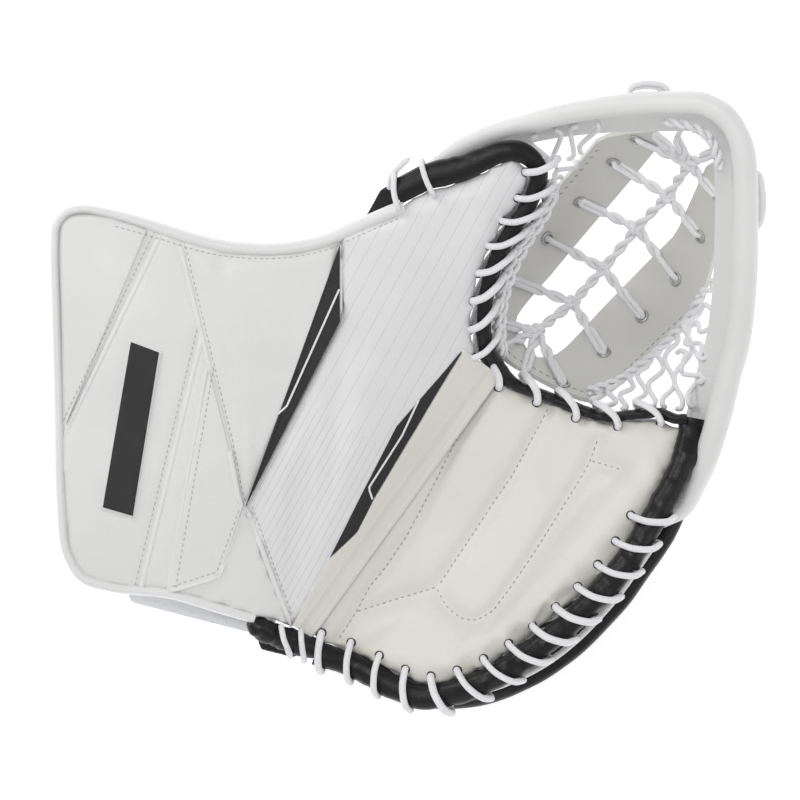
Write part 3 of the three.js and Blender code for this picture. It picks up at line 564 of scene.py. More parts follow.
# %% Cut a panel and lay it on a face
def panel(name, outline, face, thickness, cell=5.0, finish=WHITE, lift=0.0, bevel=0.0):
    outline = np.array(outline, float)[:, :2]
    bpy.ops.mesh.primitive_circle_add(vertices=len(outline), radius=1, fill_type="NGON")
    piece = bpy.context.active_object
    put(piece, np.column_stack([outline, np.zeros(len(outline))]))
    lone(piece)
    bpy.ops.object.mode_set(mode="EDIT")
    bpy.ops.mesh.select_all(action="SELECT")
    bpy.ops.mesh.quads_convert_to_tris(ngon_method="BEAUTY")
    for axis in (0, 1):
        first = math.floor(outline[:, axis].min() / cell) + 1
        for step in range(first, math.ceil(outline[:, axis].max() / cell)):
            bpy.ops.mesh.select_all(action="SELECT")
            at = [0, 0, 0]
            way = [0, 0, 0]
            at[axis] = step * cell
            way[axis] = 1
            bpy.ops.mesh.bisect(plane_co=at, plane_no=way)
    # The first triangles' edges that aren't on the grid are dissolved again.
    shape = bmesh.from_edit_mesh(piece.data)
    for edge in shape.edges:
        a, b = (v.co for v in edge.verts)
        level = [k for k in (0, 1) if abs(a[k] - b[k]) < 1e-3]
        on_grid = any(abs(a[k] / cell - round(a[k] / cell)) < 1e-3 for k in level)
        edge.select = not on_grid and not edge.is_boundary
    bpy.ops.mesh.select_mode(type="EDGE")
    bmesh.update_edit_mesh(piece.data)
    bpy.ops.mesh.dissolve_edges(use_verts=False)
    bpy.ops.mesh.select_mode(type="VERT")
    bpy.ops.mesh.select_all(action="SELECT")
    bpy.ops.mesh.remove_doubles(threshold=0.05)
    bpy.ops.mesh.normals_make_consistent(inside=False)
    bpy.ops.object.mode_set(mode="OBJECT")
    if piece.data.polygons and piece.data.polygons[0].normal.z < 0:
        piece.data.flip_normals()
    co = vertices_of(piece)
    co[:, 2] = [face(x, y) + lift for x, y in co[:, :2]]
    put(piece, co)
    refresh(piece)
    if thickness:
        wall = piece.modifiers.new("thickness", "SOLIDIFY")
        wall.thickness = thickness / 1000
        wall.offset = -1
    if bevel:
        soft = piece.modifiers.new("soft edge", "BEVEL")
        soft.width = bevel / 1000
        soft.segments = 2
        soft.limit_method = "ANGLE"
        soft.angle_limit = math.radians(50)
    apply_all(piece)
    return settle(piece, name, finish)


# %% [markdown]
# ### A strip round an edge
# Bindings, rolls and walls are all one strip whose two directions are known: along the edge and
# round it. A flat grid is the strip, each vertex is moved to its place, and the long edges are
# joined where the strip closes on itself. The grid's own map stays, in millimetres.


# %% Wrap a grid
def wrap(name, length_steps, round_steps, spot, finish, closed=True, run=100.0, thickness=0.0):
    bpy.ops.mesh.primitive_grid_add(x_subdivisions=length_steps, y_subdivisions=round_steps, size=2)
    piece = bpy.context.active_object
    flat = vertices_of(piece)
    i = np.rint((flat[:, 0] + 1) / 2 * length_steps).astype(int)
    j = np.rint((flat[:, 1] + 1) / 2 * round_steps).astype(int)
    table = np.array([[spot(a, b) for b in range(round_steps + 1)] for a in range(length_steps + 1)], float)
    put(piece, table[i, j])
    layer = piece.data.uv_layers[0]
    corners = np.empty(len(piece.data.loops), dtype=int)
    piece.data.loops.foreach_get("vertex_index", corners)
    uv = np.column_stack([i[corners] / length_steps * run / 10, j[corners] / round_steps])
    layer.data.foreach_set("uv", uv.ravel())
    refresh(piece)
    lone(piece)
    bpy.ops.object.mode_set(mode="EDIT")
    bpy.ops.mesh.select_all(action="SELECT")
    if closed:
        bpy.ops.mesh.remove_doubles(threshold=0.00002)
        bpy.ops.mesh.fill_holes(sides=round_steps + 2)
        bpy.ops.mesh.select_all(action="SELECT")
        bpy.ops.mesh.normals_make_consistent(inside=False)
    bpy.ops.object.mode_set(mode="OBJECT")
    if thickness:
        wall = piece.modifiers.new("thickness", "SOLIDIFY")
        wall.thickness = thickness / 1000
        wall.offset = 0
        apply_all(piece)
    settle(piece, name, finish)
    lone(piece)
    bpy.ops.object.shade_smooth_by_angle(angle=math.radians(55))
    return piece


def puckers(seed, wave, depth, long_wave=18.0):
    """Gathers in a binding: a height for a distance along it, in millimetres."""
    def height(s, turn=0.0):
        fine = noise.noise(Vector((s / wave + 0.35 * turn, seed * 7.3, turn * 0.25)))
        broad = noise.noise(Vector((s / long_wave, seed * 3.1 + 5, turn * 0.4)))
        return depth * (0.8 * fine + 0.7 * broad)
    return height


def rolled(name, path, width, top, drop, finish, gather, square=2.6, inward=0.0, steps=18, step=1.6):
    """A binding rolled over an edge: to the left of the path, from its top face down by a drop."""
    line = flow(path, step)
    side = sideways(line)
    count = len(line) - 1
    wide = width(np.linspace(0, 1, count + 1)) if callable(width) else np.full(count + 1, width)

    def spot(i, j):
        turn = math.tau * j / steps
        c, s = math.cos(turn), math.sin(turn)
        half = (wide[i] + inward) / 2
        x = math.copysign(abs(c) ** (2 / square), c)
        z = math.copysign(abs(s) ** (2 / square), s)
        swell = 1 + gather(i * step, turn % math.tau if 0 < j < steps else 0.0) / half
        offset = (wide[i] - inward) / 2 + half * x * swell
        height = top(*line[i]) - drop / 2 + drop / 2 * z * (1 + (swell - 1) * 0.9)
        return (*(line[i] + side[i] * offset), height)

    return wrap(name, count, steps, spot, finish, run=count * step)


def round_at(at, side, up, radius, turn):
    """A point on a ring about a point of a route."""
    return at + radius * (side * math.cos(turn) + up * math.sin(turn))


def eased(share):
    share = min(1, max(0, share))
    return share * share * (3 - 2 * share)


print("bench ready")


# %% [markdown]
# ### Cords
# A lace is a round tube that keeps its own frame along the route. Where two laces run together
# they are twisted round each other, as in the pocket's net. All laces of one piece are joined,
# and each keeps a map of its real length for the braid.


# %% Tubes along routes
def framed(route):
    """Two directions square to a route at each of its points, without sudden turns."""
    tangent = np.gradient(route, axis=0)
    tangent /= np.linalg.norm(tangent, axis=1)[:, None] + 1e-9
    side = np.cross((0.3, 0.2, 0.1), tangent[0])
    sides = []
    for t in tangent:
        side = side - t * np.dot(side, t)
        side = side / np.linalg.norm(side)
        sides.append(side)
    sides = np.array(sides)
    return sides, np.cross(tangent, sides)


def cords(name, routes, radius, finish=LACE, sides=8, flat=1.0):
    """One mesh of many tubes; a route may bring its own radius for each point."""
    points, faces, maps = [], [], []
    for route in routes:
        route, thick = route if isinstance(route, tuple) else (route, radius)
        route = np.array(route, float)
        thick = np.broadcast_to(thick, (len(route),))
        a, b = framed(route)
        run = np.concatenate([[0], np.cumsum(np.linalg.norm(np.diff(route, axis=0), axis=1))]) / 10
        base = len(points)
        for i, at in enumerate(route):
            for k in range(sides):
                turn = math.tau * k / sides
                points.append(at + thick[i] * (a[i] * math.cos(turn) + b[i] * math.sin(turn) * flat))
        for i in range(len(route) - 1):
            for k in range(sides):
                m = (k + 1) % sides
                p, q = base + i * sides, base + (i + 1) * sides
                faces.append((p + k, p + m, q + m, q + k))
                left, right = k / sides, (k + 1) / sides
                maps.append([(run[i], left), (run[i], right), (run[i + 1], right), (run[i + 1], left)])
        last = base + (len(route) - 1) * sides
        faces.append(tuple(base + k for k in reversed(range(sides))))
        faces.append(tuple(last + k for k in range(sides)))
        maps += [[(0, 0)] * sides] * 2
    mesh = bpy.data.meshes.new(name)
    mesh.from_pydata([tuple(p) for p in points], [], faces)
    layer = mesh.uv_layers.new(name="UVMap")
    layer.data.foreach_set("uv", np.array([c for corners in maps for c in corners], float).ravel())
    piece = bpy.data.objects.new(name, mesh)
    bpy.context.scene.collection.objects.link(piece)
    refresh(piece)
    return settle(piece, name, finish)


def twisted(points, gap=1.55, turns=None, pitch=15.0, phase=0.0, ease=0.0):
    """Two strands round each other along a route; ease lets them run side by side first."""
    step = 1.6
    line = flow(points, step)
    a, b = framed(line)
    run = np.linspace(0, 1, len(line))
    length = step * (len(line) - 1)
    turns = turns if turns is not None else max(1, round(length / pitch * 2)) / 2
    wound = np.clip((run - ease) / max(1e-6, 1 - ease), 0, 1) * turns
    strands = []
    for half in (0, math.pi):
        angle = phase + half + wound * math.tau
        strands.append(line + gap * (a * np.cos(angle)[:, None] + b * np.sin(angle)[:, None]))
    return strands


# %% [markdown]
# ### Stitches
# A stitch is a short round-ended bead of thread. One is modelled, and its copies are set along
# a seam, each lying on the face below it. A tree of the piece's faces tells the height.


# %% One stitch, set many times
def stitch_shape():
    bpy.ops.mesh.primitive_uv_sphere_add(segments=6, ring_count=4, radius=1)
    piece = bpy.context.active_object
    lone(piece)
    bpy.ops.object.mode_set(mode="EDIT")
    bpy.ops.mesh.select_all(action="SELECT")
    bpy.ops.transform.rotate(value=math.pi / 2, orient_axis="Y", center_override=(0, 0, 0))
    bpy.ops.object.mode_set(mode="OBJECT")
    co = vertices_of(piece)
    faces = [tuple(p.vertices) for p in piece.data.polygons]
    bpy.data.objects.remove(piece)
    return co, faces


STITCH_CO, STITCH_FACES = stitch_shape()


def tree_of(*pieces):
    points, faces = [], []
    for piece in pieces:
        base = len(points)
        points += [v.co.copy() for v in piece.data.vertices]
        faces += [tuple(base + i for i in p.vertices) for p in piece.data.polygons]
    return BVHTree.FromPolygons(points, faces)


def height_on(tree, x, y, fallback=None):
    """Height in millimetres and normal of the first face below a point of the pattern."""
    hit, normal = tree.ray_cast(place(x, y, 400), Vector((0, 0, -1)))[:2]
    if hit is None:
        return fallback, Vector((0, 0, 1))
    return hit.z * 1000, normal if normal.z > 0 else -normal


def stitches(name, lines, tree, finish=THREAD, pitch=3.4, length=2.3, thick=0.34, lift=0.05):
    points, faces = [], []
    for line in lines:
        line = even(line, pitch)
        for i in range(len(line) - 1):
            middle = (line[i] + line[i + 1]) / 2
            z, normal = height_on(tree, *middle)
            if z is None:
                continue
            way = Vector((*(line[i + 1] - line[i]), 0)).normalized()
            way = (way - normal * way.dot(normal)).normalized()
            turn = Matrix((way, normal.cross(way), normal)).transposed()
            scale = Vector((length / 2, thick, thick))
            base = len(points)
            at = Vector((middle[0], middle[1], z)) + normal * lift
            points += [tuple(at + turn @ Vector(c * s for c, s in zip(co, scale))) for co in STITCH_CO]
            faces += [tuple(base + k for k in face) for face in STITCH_FACES]
    mesh = bpy.data.meshes.new(name)
    mesh.from_pydata(points, [], faces)
    piece = bpy.data.objects.new(name, mesh)
    bpy.context.scene.collection.objects.link(piece)
    refresh(piece)
    return settle(piece, name, finish)


# %% [markdown]
# ### Padding
# A padded board is a bag of foam. Its slab is remeshed into even cells and blown up a little
# with cloth pressure, with gravity off. The vertices on sewn lines are pinned, so the leather
# rises only between the seams. Then the seams are pressed in.


# %% Remesh, blow up and press the seams
def remeshed(piece, voxel, smooth=3):
    lone(piece)
    cells = piece.modifiers.new("cells", "REMESH")
    cells.mode = "VOXEL"
    cells.voxel_size = voxel / 1000
    if smooth:
        iron = piece.modifiers.new("iron", "SMOOTH")
        iron.factor = 0.5
        iron.iterations = smooth
    apply_all(piece)


def seam_distance(co, seams):
    """Distance on the pattern from each vertex to the nearest seam, in millimetres."""
    flat = co[:, :2] * 1000 - (SHIFT_X, SHIFT_Y)
    nearest = np.full(len(co), 1e9)
    for seam in seams:
        line = np.array(seam, float)[:, :2]
        for a, b in zip(line[:-1], line[1:]):
            d = b - a
            t = np.clip(((flat - a) @ d) / (d @ d), 0, 1)[:, None]
            nearest = np.minimum(nearest, np.linalg.norm(flat - (a + t * d), axis=1))
    return nearest


PIN_WIDTH = 3.0     # mm on each side of a seam that the cloth keeps still
LAST_FRAME = 20


def blown(piece, pressure, cap, seams=()):
    """Cloth pressure for a few frames; no vertex moves further than the cap, in millimetres."""
    start = vertices_of(piece)
    lone(piece)
    if len(seams):
        group = piece.vertex_groups.new(name="sewn")
        near = seam_distance(start, seams) < PIN_WIDTH
        group.add([int(i) for i in np.nonzero(near)[0]], 1.0, "REPLACE")
    cloth = piece.modifiers.new("padding", "CLOTH")
    cloth.settings.use_pressure = True
    cloth.settings.uniform_pressure_force = pressure
    cloth.settings.effector_weights.gravity = 0
    cloth.settings.quality = 4
    if len(seams):
        cloth.settings.vertex_group_mass = "sewn"
    cloth.point_cache.frame_start = 1
    cloth.point_cache.frame_end = LAST_FRAME
    for frame_number in range(1, LAST_FRAME + 1):
        bpy.context.scene.frame_set(frame_number)
    bpy.ops.object.modifier_apply(modifier=cloth.name)
    moved = vertices_of(piece) - start
    far = np.linalg.norm(moved, axis=1)
    put(piece, start + moved * (np.minimum(far, cap / 1000) / np.maximum(far, 1e-9))[:, None])
    piece.vertex_groups.clear()
    bpy.context.scene.frame_set(1)


def finer(piece, levels=1):
    lone(piece)
    fine = piece.modifiers.new("fine", "SUBSURF")
    fine.levels = fine.render_levels = levels
    apply_all(piece)


def pressed(piece, seams, depth, width):
    """Presses sewn lines into the upper face."""
    co = vertices_of(piece)
    normals = np.empty(len(co) * 3)
    piece.data.vertices.foreach_get("normal", normals)
    up = np.clip(normals.reshape(-1, 3)[:, 2], 0, 1)
    d = seam_distance(co, seams)
    co[:, 2] -= depth / 1000 * np.exp(-(d / width) ** 2) * up
    put(piece, co)


def board_pad(name, outline, face, finish, pressure, cap, seams, groove, lift=0.0):
    """A padded board, 8 mm thick; the groove of its seams has a depth and a width."""
    piece = panel(name, outline, face, 8, cell=8, finish=finish, lift=lift)
    remeshed(piece, voxel=4)
    blown(piece, pressure, cap, seams)
    finer(piece)
    pressed(piece, seams, *groove)
    return settle(piece, name, finish)


def soft_copy(node, name, voxel, finish, pressure=0.0, cap=0.0, smooth=4, levels=1):
    """A soft piece from a CAD node's own mesh: merged, remeshed, filled and refined."""
    piece = bpy.data.objects.new(name, frame["nodes"][node].data.copy())
    bpy.context.scene.collection.objects.link(piece)
    lone(piece)
    bpy.ops.object.mode_set(mode="EDIT")
    bpy.ops.mesh.select_all(action="SELECT")
    bpy.ops.mesh.remove_doubles(threshold=0.00002)
    bpy.ops.object.mode_set(mode="OBJECT")
    remeshed(piece, voxel, smooth)
    if pressure:
        blown(piece, pressure, cap)
    if levels:
        finer(piece, levels)
    return settle(piece, name, finish)


print("one stitch has", len(STITCH_FACES), "faces")

# %% [markdown]
# ## The cuff
# The cuff is a flat padded board that guards the wrist. Its leather face is sewn in slanted
# panels, and a white roll binds its free edge. The board is one blown pad, the panels are thin
# pieces laid over it, and the roll is a strip wrapped round the edge.

# %% Seams of the cuff
SEAM_CORNER = [(-136.7, 96), (-192.5, -19.5)]
SEAM_LONG = [(-125, 91), (-97.2, -24), (-91.5, -54.3), (-88.5, -62)]
SEAM_SLANT = [(-113.8, 40.6), (-150.4, -110)]
KITE = [(-108.7, 17), (-89.5, -60), (-103, -101.5), (-132, -109.5)]
STACK = 18.6    # mm from the face pad's top to the back pad's underside

# %% The cuff's padded face
cuff_line = flow(CUFF_EDGE, 5)
cuff_ring = beside(cuff_line, 3.5)
cuff_ring = cuff_ring[cuff_ring[:, 0] < -36]
cuff_outline = np.vstack([cuff_ring, np.array(CUFF_SEAM) + (1.4, 0)])
cuff_face = board_pad("cuff_face", cuff_outline, thumb_face, WHITE, 3, 1.8,
                      [SEAM_CORNER, SEAM_LONG, SEAM_SLANT], (0.9, 2.0))
declare(cuff_face, "thumb_side", "white_leather", "cuff_face_pad")


def on(tree, lift=0.0):
    """A face function that lies on a made piece, or beside it on the thumb's face."""
    def face(x, y):
        z = height_on(tree, x, y)[0]
        return (thumb_face(x, y) if z is None else z) + lift
    return face


# %% The foam on the cuff's back
for node, name in (("cuff_back_pad", "cuff_back_foam"), ("thumb_liner", "thumb_back_foam")):
    foam_piece = soft_copy(node, name, 4, FOAM, 2, 2)
    declare(foam_piece, "thumb_side", "foam", node)

# %% [markdown]
# ### The cuff's overlays
# The corner panel and the kite-shaped panel are second layers of leather with turned edges, so
# each is a thin panel sewn on the padded face, with a soft bevel.

# %% Corner panel and kite
def laid(name, outline, lift, finish=WHITE, bevel=0.45):
    """A panel with straight sides that lies on the smooth face of the cuff and the thumb."""
    outline = np.array(outline, float)
    sides = [even(outline[[i, (i + 1) % len(outline)]], 4.0)[:-1] for i in range(len(outline))]
    return panel(name, np.vstack(sides), thumb_face, 2.0, 4.0, finish, lift=lift, bevel=bevel)


corner_line = beside(flow(CUFF_EDGE, 4), 7.2)
inside_corner = [p for p in corner_line if p[1] > -17 and p[0] < -142 and
                 (p[0] + 136.7) * -111.5 - (p[1] - 92) * -55 > 0]
corner = laid("cuff_corner", inside_corner, 1.9)
declare(corner, "thumb_side", "white_leather", "cuff_corner_panel")
kite = laid("cuff_kite", KITE, 2.1)
declare(kite, "thumb_side", "white_leather", "cuff_overlay_panel")

# %% Turned edges: a soft ridge beside each seam
def ridge(path, tree, width=3.4, height=1.0):
    line = even(path, 3.0)
    side = sideways(line)
    face = on(tree)

    def spot(i, j):
        turn = math.tau * j / 10
        end = min(1, 0.25 + min(i, len(line) - 1 - i) * 0.4)
        x, y = line[i] + side[i] * math.cos(turn) * width / 2 * end
        return x, y, face(*line[i]) + math.sin(turn) * height * end

    return wrap("ridge", len(line) - 1, 10, spot, WHITE_EDGE, run=3.0 * len(line))


def joined(name, parts, finish):
    lone(parts[0])
    for part in parts[1:]:
        part.select_set(True)
    bpy.ops.object.join()
    return settle(bpy.context.active_object, name, finish)


layers = tree_of(cuff_face, corner, kite)
edge_ridges = [
    ridge(beside(SEAM_CORNER, 1.4), layers), ridge(beside(SEAM_LONG, -1.0), layers),
    ridge(beside(SEAM_SLANT, 2.0), layers), ridge([(-109.5, 20), (-132.5, -109.5)], layers, 2.6, 0.8),
    ridge([(-132.5, -109.5), (-103, -101)], layers, 2.2, 0.5),
    ridge([(-103, -101), (-89, -61)], layers, 2.2, 0.5),
    ridge([(-88, -60), (-62.5, -130.5)], tree_of(cuff_face), 3.2, 1.6),
]
cuff_edges = joined("cuff_turned_edges", edge_ridges, WHITE_EDGE)
declare(cuff_edges, "thumb_side", "white_leather")

# %% The cuff's roll
cuff_roll_line = [(1.5, 113.5), *CUFF_EDGE]
cuff_roll = rolled(
    "cuff_roll", cuff_roll_line, lambda t: np.interp(t, [0, 0.26, 0.36, 0.9, 1], [8.2, 8.2, 5.8, 6.2, 6.5]),
    lambda x, y: thumb_face(x, y) + 1.6, STACK + 3.4, WHITE_EDGE, puckers(3, 9, 0.12, 40), square=2.8)
declare(cuff_roll, "thumb_side", "white_leather", "cuff_binding")

# %% [markdown]
# ### The cuff's badge and accents
# The badge is a plain raised patch with a pale outline, with nothing written on it. The two
# charcoal wedges are inlays, each split by a fine white line.

# %% Badge
badge_outline = np.array([(-169, -61), (-152, -66), (-137, 27), (-153, 33)], float)
middle = badge_outline.mean(axis=0)
badge_rim = laid("badge_outline", (badge_outline - middle) * (1.09, 1.02) + middle, 2.0, finish=WHITE_EDGE)
declare(badge_rim, "thumb_side", "white_leather")
badge = laid("badge", badge_outline, 2.7, finish=ACCENT, bevel=0.5)
declare(badge, "thumb_side", "black_leather", "cuff_badge")

# %% Thumb's padded face
thumb_outline = np.vstack([
    beside(CUFF_EDGE[:2], 4.5)[::-1], flow(THUMB_EDGE, 5), [on_fold(186, -3), on_fold(3, -3)],
    np.array(CUFF_SEAM[:3]) - (1.4, 0), [(-34.4, 92.5)],
])
thumb_pad = board_pad("thumb_face", thumb_outline, thumb_face, PINSTRIPED, 3, 1.6, [CUFF_SEAM[:3]], (0.5, 1.8))
declare(thumb_pad, "thumb_side", "white_leather", "thumb_face_pad")
thumb_tree = tree_of(thumb_pad, cuff_face)
edge_of_thumb = ridge([(-34, 91), (-34, 46)], thumb_tree, 2.6, 0.9)
edge_of_thumb.name = "thumb_panel_edge"
declare(edge_of_thumb, "thumb_side", "white_leather")

# %% Charcoal wedges with white lines
UPPER_WEDGE = np.array([(-34.3, 88.1), (-87.9, -60.8), (-34.3, 44.6)])
LOWER_WEDGE = np.array([(35.5, 27.5), (14.6, 3.8), (-1.9, -15.2), (-20, -50.5), (-40, -90.4), (-24.8, -76),
                        (-18, -63), (-15.4, -57.2)])
upper = laid("accent_upper", UPPER_WEDGE, 1.9, finish=ACCENT)
declare(upper, "thumb_side", "accent_leather", "accent_inlay_upper")
lower = laid("accent_lower", LOWER_WEDGE, 1.9, finish=ACCENT)
declare(lower, "thumb_side", "accent_leather", "accent_inlay_lower")
wedge_tree = tree_of(upper, lower, thumb_pad, cuff_face)


def fine_line(path):
    """A thin white line, 1.1 mm wide, just above the wedges."""
    line = even(path, 2.5)
    side = sideways(line)
    face = on(wedge_tree, 0.35)

    def spot(i, j):
        x, y = line[i] + side[i] * (j / 2 - 0.5) * 1.1
        return x, y, face(*line[i])

    return wrap("line", len(line) - 1, 2, spot, WHITE_EDGE, closed=False, thickness=0.5)


white_lines = joined("accent_lines", [
    fine_line([(-34.6, 63), (-64.5, -3.5), (-70, -8.3)]),
    fine_line([(10.8, 0.2), (1.1, -20.6), (-18, -50.5), (-15.8, -57)]),
], WHITE_EDGE)
declare(white_lines, "thumb_side", "white_leather")

# %% [markdown]
# ## The palm and the break
# The palm is the plushest board: its lining is quilted, and the leather stands up well between
# the sewn lines. It is blown harder than the cuff, with its seams pinned. Between thumb and
# palm lies the break, a supple strip that folds as the glove closes; here it is built where it
# lies and rides on neither body.

# %% Palm's padded face
PALM_SEAMS = [
    [(52, 9), (32.6, -22.9), (18.3, -51.5), (3.4, -79.5), (-9.2, -97.8), (-17.7, -108.1), (-25.2, -122.4),
     (-35.5, -138)],
    [(-25.2, -122.4), (-2, -115), (21.2, -108.1)],
    [(87.5, -1.5), (64.6, -44), (55.5, -57.2), (22.9, -106.4)],
    [(21.2, -108.7), (26.9, -119.5), (36, -126.4), (44, -127), (53.2, -121.8), (62.3, -109.8), (77.2, -88.1),
     (95.5, -58.9), (104.7, -44), (109.8, -34.9), (113.8, -22.9)],
    [(109.8, -34.9), (127, -40)],
]
palm_outline = np.vstack([[on_fold(184, 3)], flow([*PALM_POCKET_EDGE, (161, -12)], 5),
                          flow([(162, -16), *PALM_OUTER_EDGE], 5), [on_fold(4, 3)]])
palm_pad = board_pad("palm_face", palm_outline, palm_face, PALM, 11, 6.5, PALM_SEAMS, (3.2, 4.2), lift=-1.0)
declare(palm_pad, "palm_side", "palm_leather", "palm_face_pad")
palm_tree = tree_of(palm_pad)
palm_back = soft_copy("palm_liner", "palm_back_foam", 4, FOAM, 2, 2)
declare(palm_back, "palm_side", "foam", "palm_liner")


# %% The break
def break_face(v, u):
    x, y = on_fold(v, u)
    share = eased((u + 4) / 8)
    raised = 0.5 * (math.exp(-((u + 3.4) / 0.6) ** 2) + math.exp(-((u - 2.4) / 0.6) ** 2))
    return x, y, thumb_face(x, y) * (1 - share) + (palm_face(x, y) + 0.5) * share + 1.3 + raised


def break_spot(i, j):
    v = 1 + i * 3.0
    first = np.interp(v, [0, 45, 66, 87, 185, 195], [-6.2, -11.8, -7.9, -11.3, -19.9, -20.9])
    u = first + (6.5 - first) * j / 30
    turned = 1.2 if j in (0, 30) else 0
    x, y, z = break_face(v, u)
    return x, y, z - turned


break_strip = wrap("break_strip", 62, 30, break_spot, PALM, closed=False, run=186, thickness=1.4)
fold_start, fold_end = (place(*on_fold(90, u), FOLD_Z) for u in (-5, 5))
declare(break_strip, ("thumb_side", "palm_side", fold_start, fold_end), "palm_leather", "break_gusset")

# %% [markdown]
# ## Black bindings and rolls
# The black edges are thin glossy leather gathered over foam. Gathers show as soft ridges across
# the strip, closer together where a lace pulls. They come from noise along the strip's length.

# %% Bindings of thumb and palm
thumb_binding = rolled(
    "thumb_binding", THUMB_EDGE,
    lambda t: np.interp(t, [0, 0.18, 0.3, 0.4, 0.5, 1], [13.5, 15, 12.5, 10.5, 8.6, 8.2]),
    lambda x, y: thumb_face(x, y) + 1.4, 16, BLACK, puckers(1, 6, 0.5, 26), 2.9, inward=0.8, steps=20, step=1.3)
declare(thumb_binding, "thumb_side", "black_leather", "thumb_binding")
palm_binding = rolled(
    "palm_binding", [(161.5, -9), *PALM_OUTER_EDGE], 13.5, lambda x, y: palm_face(x, y) + 2.2, 16.5, BLACK,
    puckers(2, 4.6, 1.1), inward=1.0, steps=20, step=1.3)
declare(palm_binding, "palm_side", "black_leather", "palm_binding")
pocket_binding = rolled(
    "palm_pocket_binding", [(49, 17.5), *PALM_POCKET_EDGE, (164, -13.5)], 5.2,
    lambda x, y: palm_face(x, y) + 1.6, 15.5, BLACK, puckers(4, 4, 0.8), inward=0.6, step=1.4)
declare(pocket_binding, "palm_side", "black_leather", "palm_pocket_binding")

# %% The binding round the pocket's base crosses the fold
def base_top(x, y):
    share = eased((across(x, y) + 8) / 16)
    return thumb_face(x, y) * (1 - share) + palm_face(x, y) * share + 1.5


base_path = [(45.2, 33), (46, 25), (51.5, 16.5), (60, 9.5), (68, 5.6)]
base_binding = rolled(
    "pocket_base_binding", base_path, lambda t: np.interp(t, [0, 0.5, 1], [9.5, 10.5, 5.5]), base_top, 15.5,
    BLACK, puckers(7, 4.6, 0.8), inward=0.7, step=1.3)
base_fold = tuple(place(*on_fold(185, u), FOLD_Z) for u in (-6, 6))
declare(base_binding, ("thumb_side", "palm_side", *base_fold), "black_leather")

# %% Heel binding
heel_path = flow([(-86, -127.5, 93), (-76, -133.5, 87), (-64, -138, 81), (-54, -141.5, 77), (-46, -145, 73)], 1.2)
heel_gather = puckers(5, 3.6, 1.3)
heel_side, heel_up = framed(heel_path)


def heel_spot(i, j):
    turn = math.tau * j / 16
    end = min(1, 0.45 + 0.12 * min(i, len(heel_path) - 1 - i))
    radius = (6.6 + heel_gather(i * 1.2, turn % math.tau)) * end
    return round_at(heel_path[i], heel_side[i], heel_up[i], radius, turn)


heel = wrap("heel_binding", len(heel_path) - 1, 16, heel_spot, BLACK, run=50)
declare(heel, "thumb_side", "black_leather", "heel_binding")

# %% Outer roll and its white piping
roll_plan = flow(OUTER_ROLL, 2.0)


def roll_height(x, y):
    return min(palm_face(x, y) - 31, 62)


inner_plan = beside(roll_plan, -16.5)
roll_route = np.column_stack([roll_plan, [roll_height(x, y) for x, y in inner_plan]])
roll_side, roll_up = framed(roll_route)
roll_gather = puckers(6, 16, 0.5, 60)


def roll_spot(i, j):
    turn = math.tau * j / 20
    t = i / (len(roll_route) - 1)
    radius = 6.2 * min(1, 0.3 + 5 * min(t, 1 - t)) + roll_gather(i * 2.0, turn % math.tau)
    return round_at(roll_route[i], roll_side[i], roll_up[i], radius, turn)


outer_roll = wrap("outer_roll", len(roll_route) - 1, 20, roll_spot, BLACK, run=420)
declare(outer_roll, "palm_side", "black_leather", "outer_roll")
piping_plan = beside(flow(OUTER_ROLL[3:-1], 3), -2.6)
inner_piping = beside(piping_plan, -12.5)
piping_route = np.column_stack([piping_plan, [roll_height(x, y) + 11.2 for x, y in inner_piping]])
piping = cords("shell_piping", [piping_route], 1.9, WHITE_EDGE, 8)
declare(piping, "palm_side", "white_leather", "shell_piping")

# %% [markdown]
# ## Backhand, wrist and guards
# Under the boards are the parts a hand wears: a black backhand shell with a soft liner and a
# strap over the fingers, the guard behind the thumb, and the wrist's lining with its closing
# strap. They are soft, so each is remeshed from its CAD solid, filled and smoothed.

# %% Soft pieces from their solids
SOFT = [
    ("backhand_shell", "backhand_shell_leather", 3.0, SHELL, 2, 1.5, "palm_side", "black_leather", 0.7),
    ("finger_liner", "finger_lining", 1.6, LINING, 0, 0, "palm_side", "lining", 0.5),
    ("thumb_guard", "thumb_guard_pad", 3.0, WHITE, 3, 2.5, "thumb_side", "white_leather", 0.8),
    ("wrist_back_pad", "wrist_lining_pad", 4.0, LINING, 4, 1.0, "thumb_side", "lining", 0.7),
    ("wrist_side_wall", "wrist_side_lining", 2.2, LINING, 2, 3.0, "thumb_side", "lining", 0.4),
]
for node, name, voxel, finish, pressure, cap, body, slot_name, fill in SOFT:
    piece = soft_copy(node, name, voxel, finish, pressure, cap, smooth=5, levels=0 if voxel < 2 else 1)
    declare(piece, body, slot_name, node)

# %% Straps and tabs
FLAT = [
    ("thumb_side_wall", "thumb_side_gusset", 1.6, WHITE, "thumb_side", "white_leather"),
    ("hand_strap", "finger_strap", 1.0, ACCENT, "palm_side", "accent_leather"),
    ("closure_tab", "closure_loop_tab", 1.1, LINING, "thumb_side", "lining"),
    ("upper_tab", "upper_black_tab", 1.1, BLACK, "thumb_side", "black_leather"),
    ("heel_tab", "heel_black_tab", 1.2, BLACK, "thumb_side", "black_leather"),
    ("strap_hook_pad", "strap_hook_tape", 0.8, LOOP, "wrist_strap_body", "accent_leather"),
    ("wrist_strap", "wrist_closing_strap", 1.3, SHELL, "wrist_strap_body", "black_leather"),
]
for node, name, voxel, finish, body, slot_name in FLAT:
    piece = soft_copy(node, name, voxel, finish, smooth=3, levels=0)
    declare(piece, body, slot_name, node)

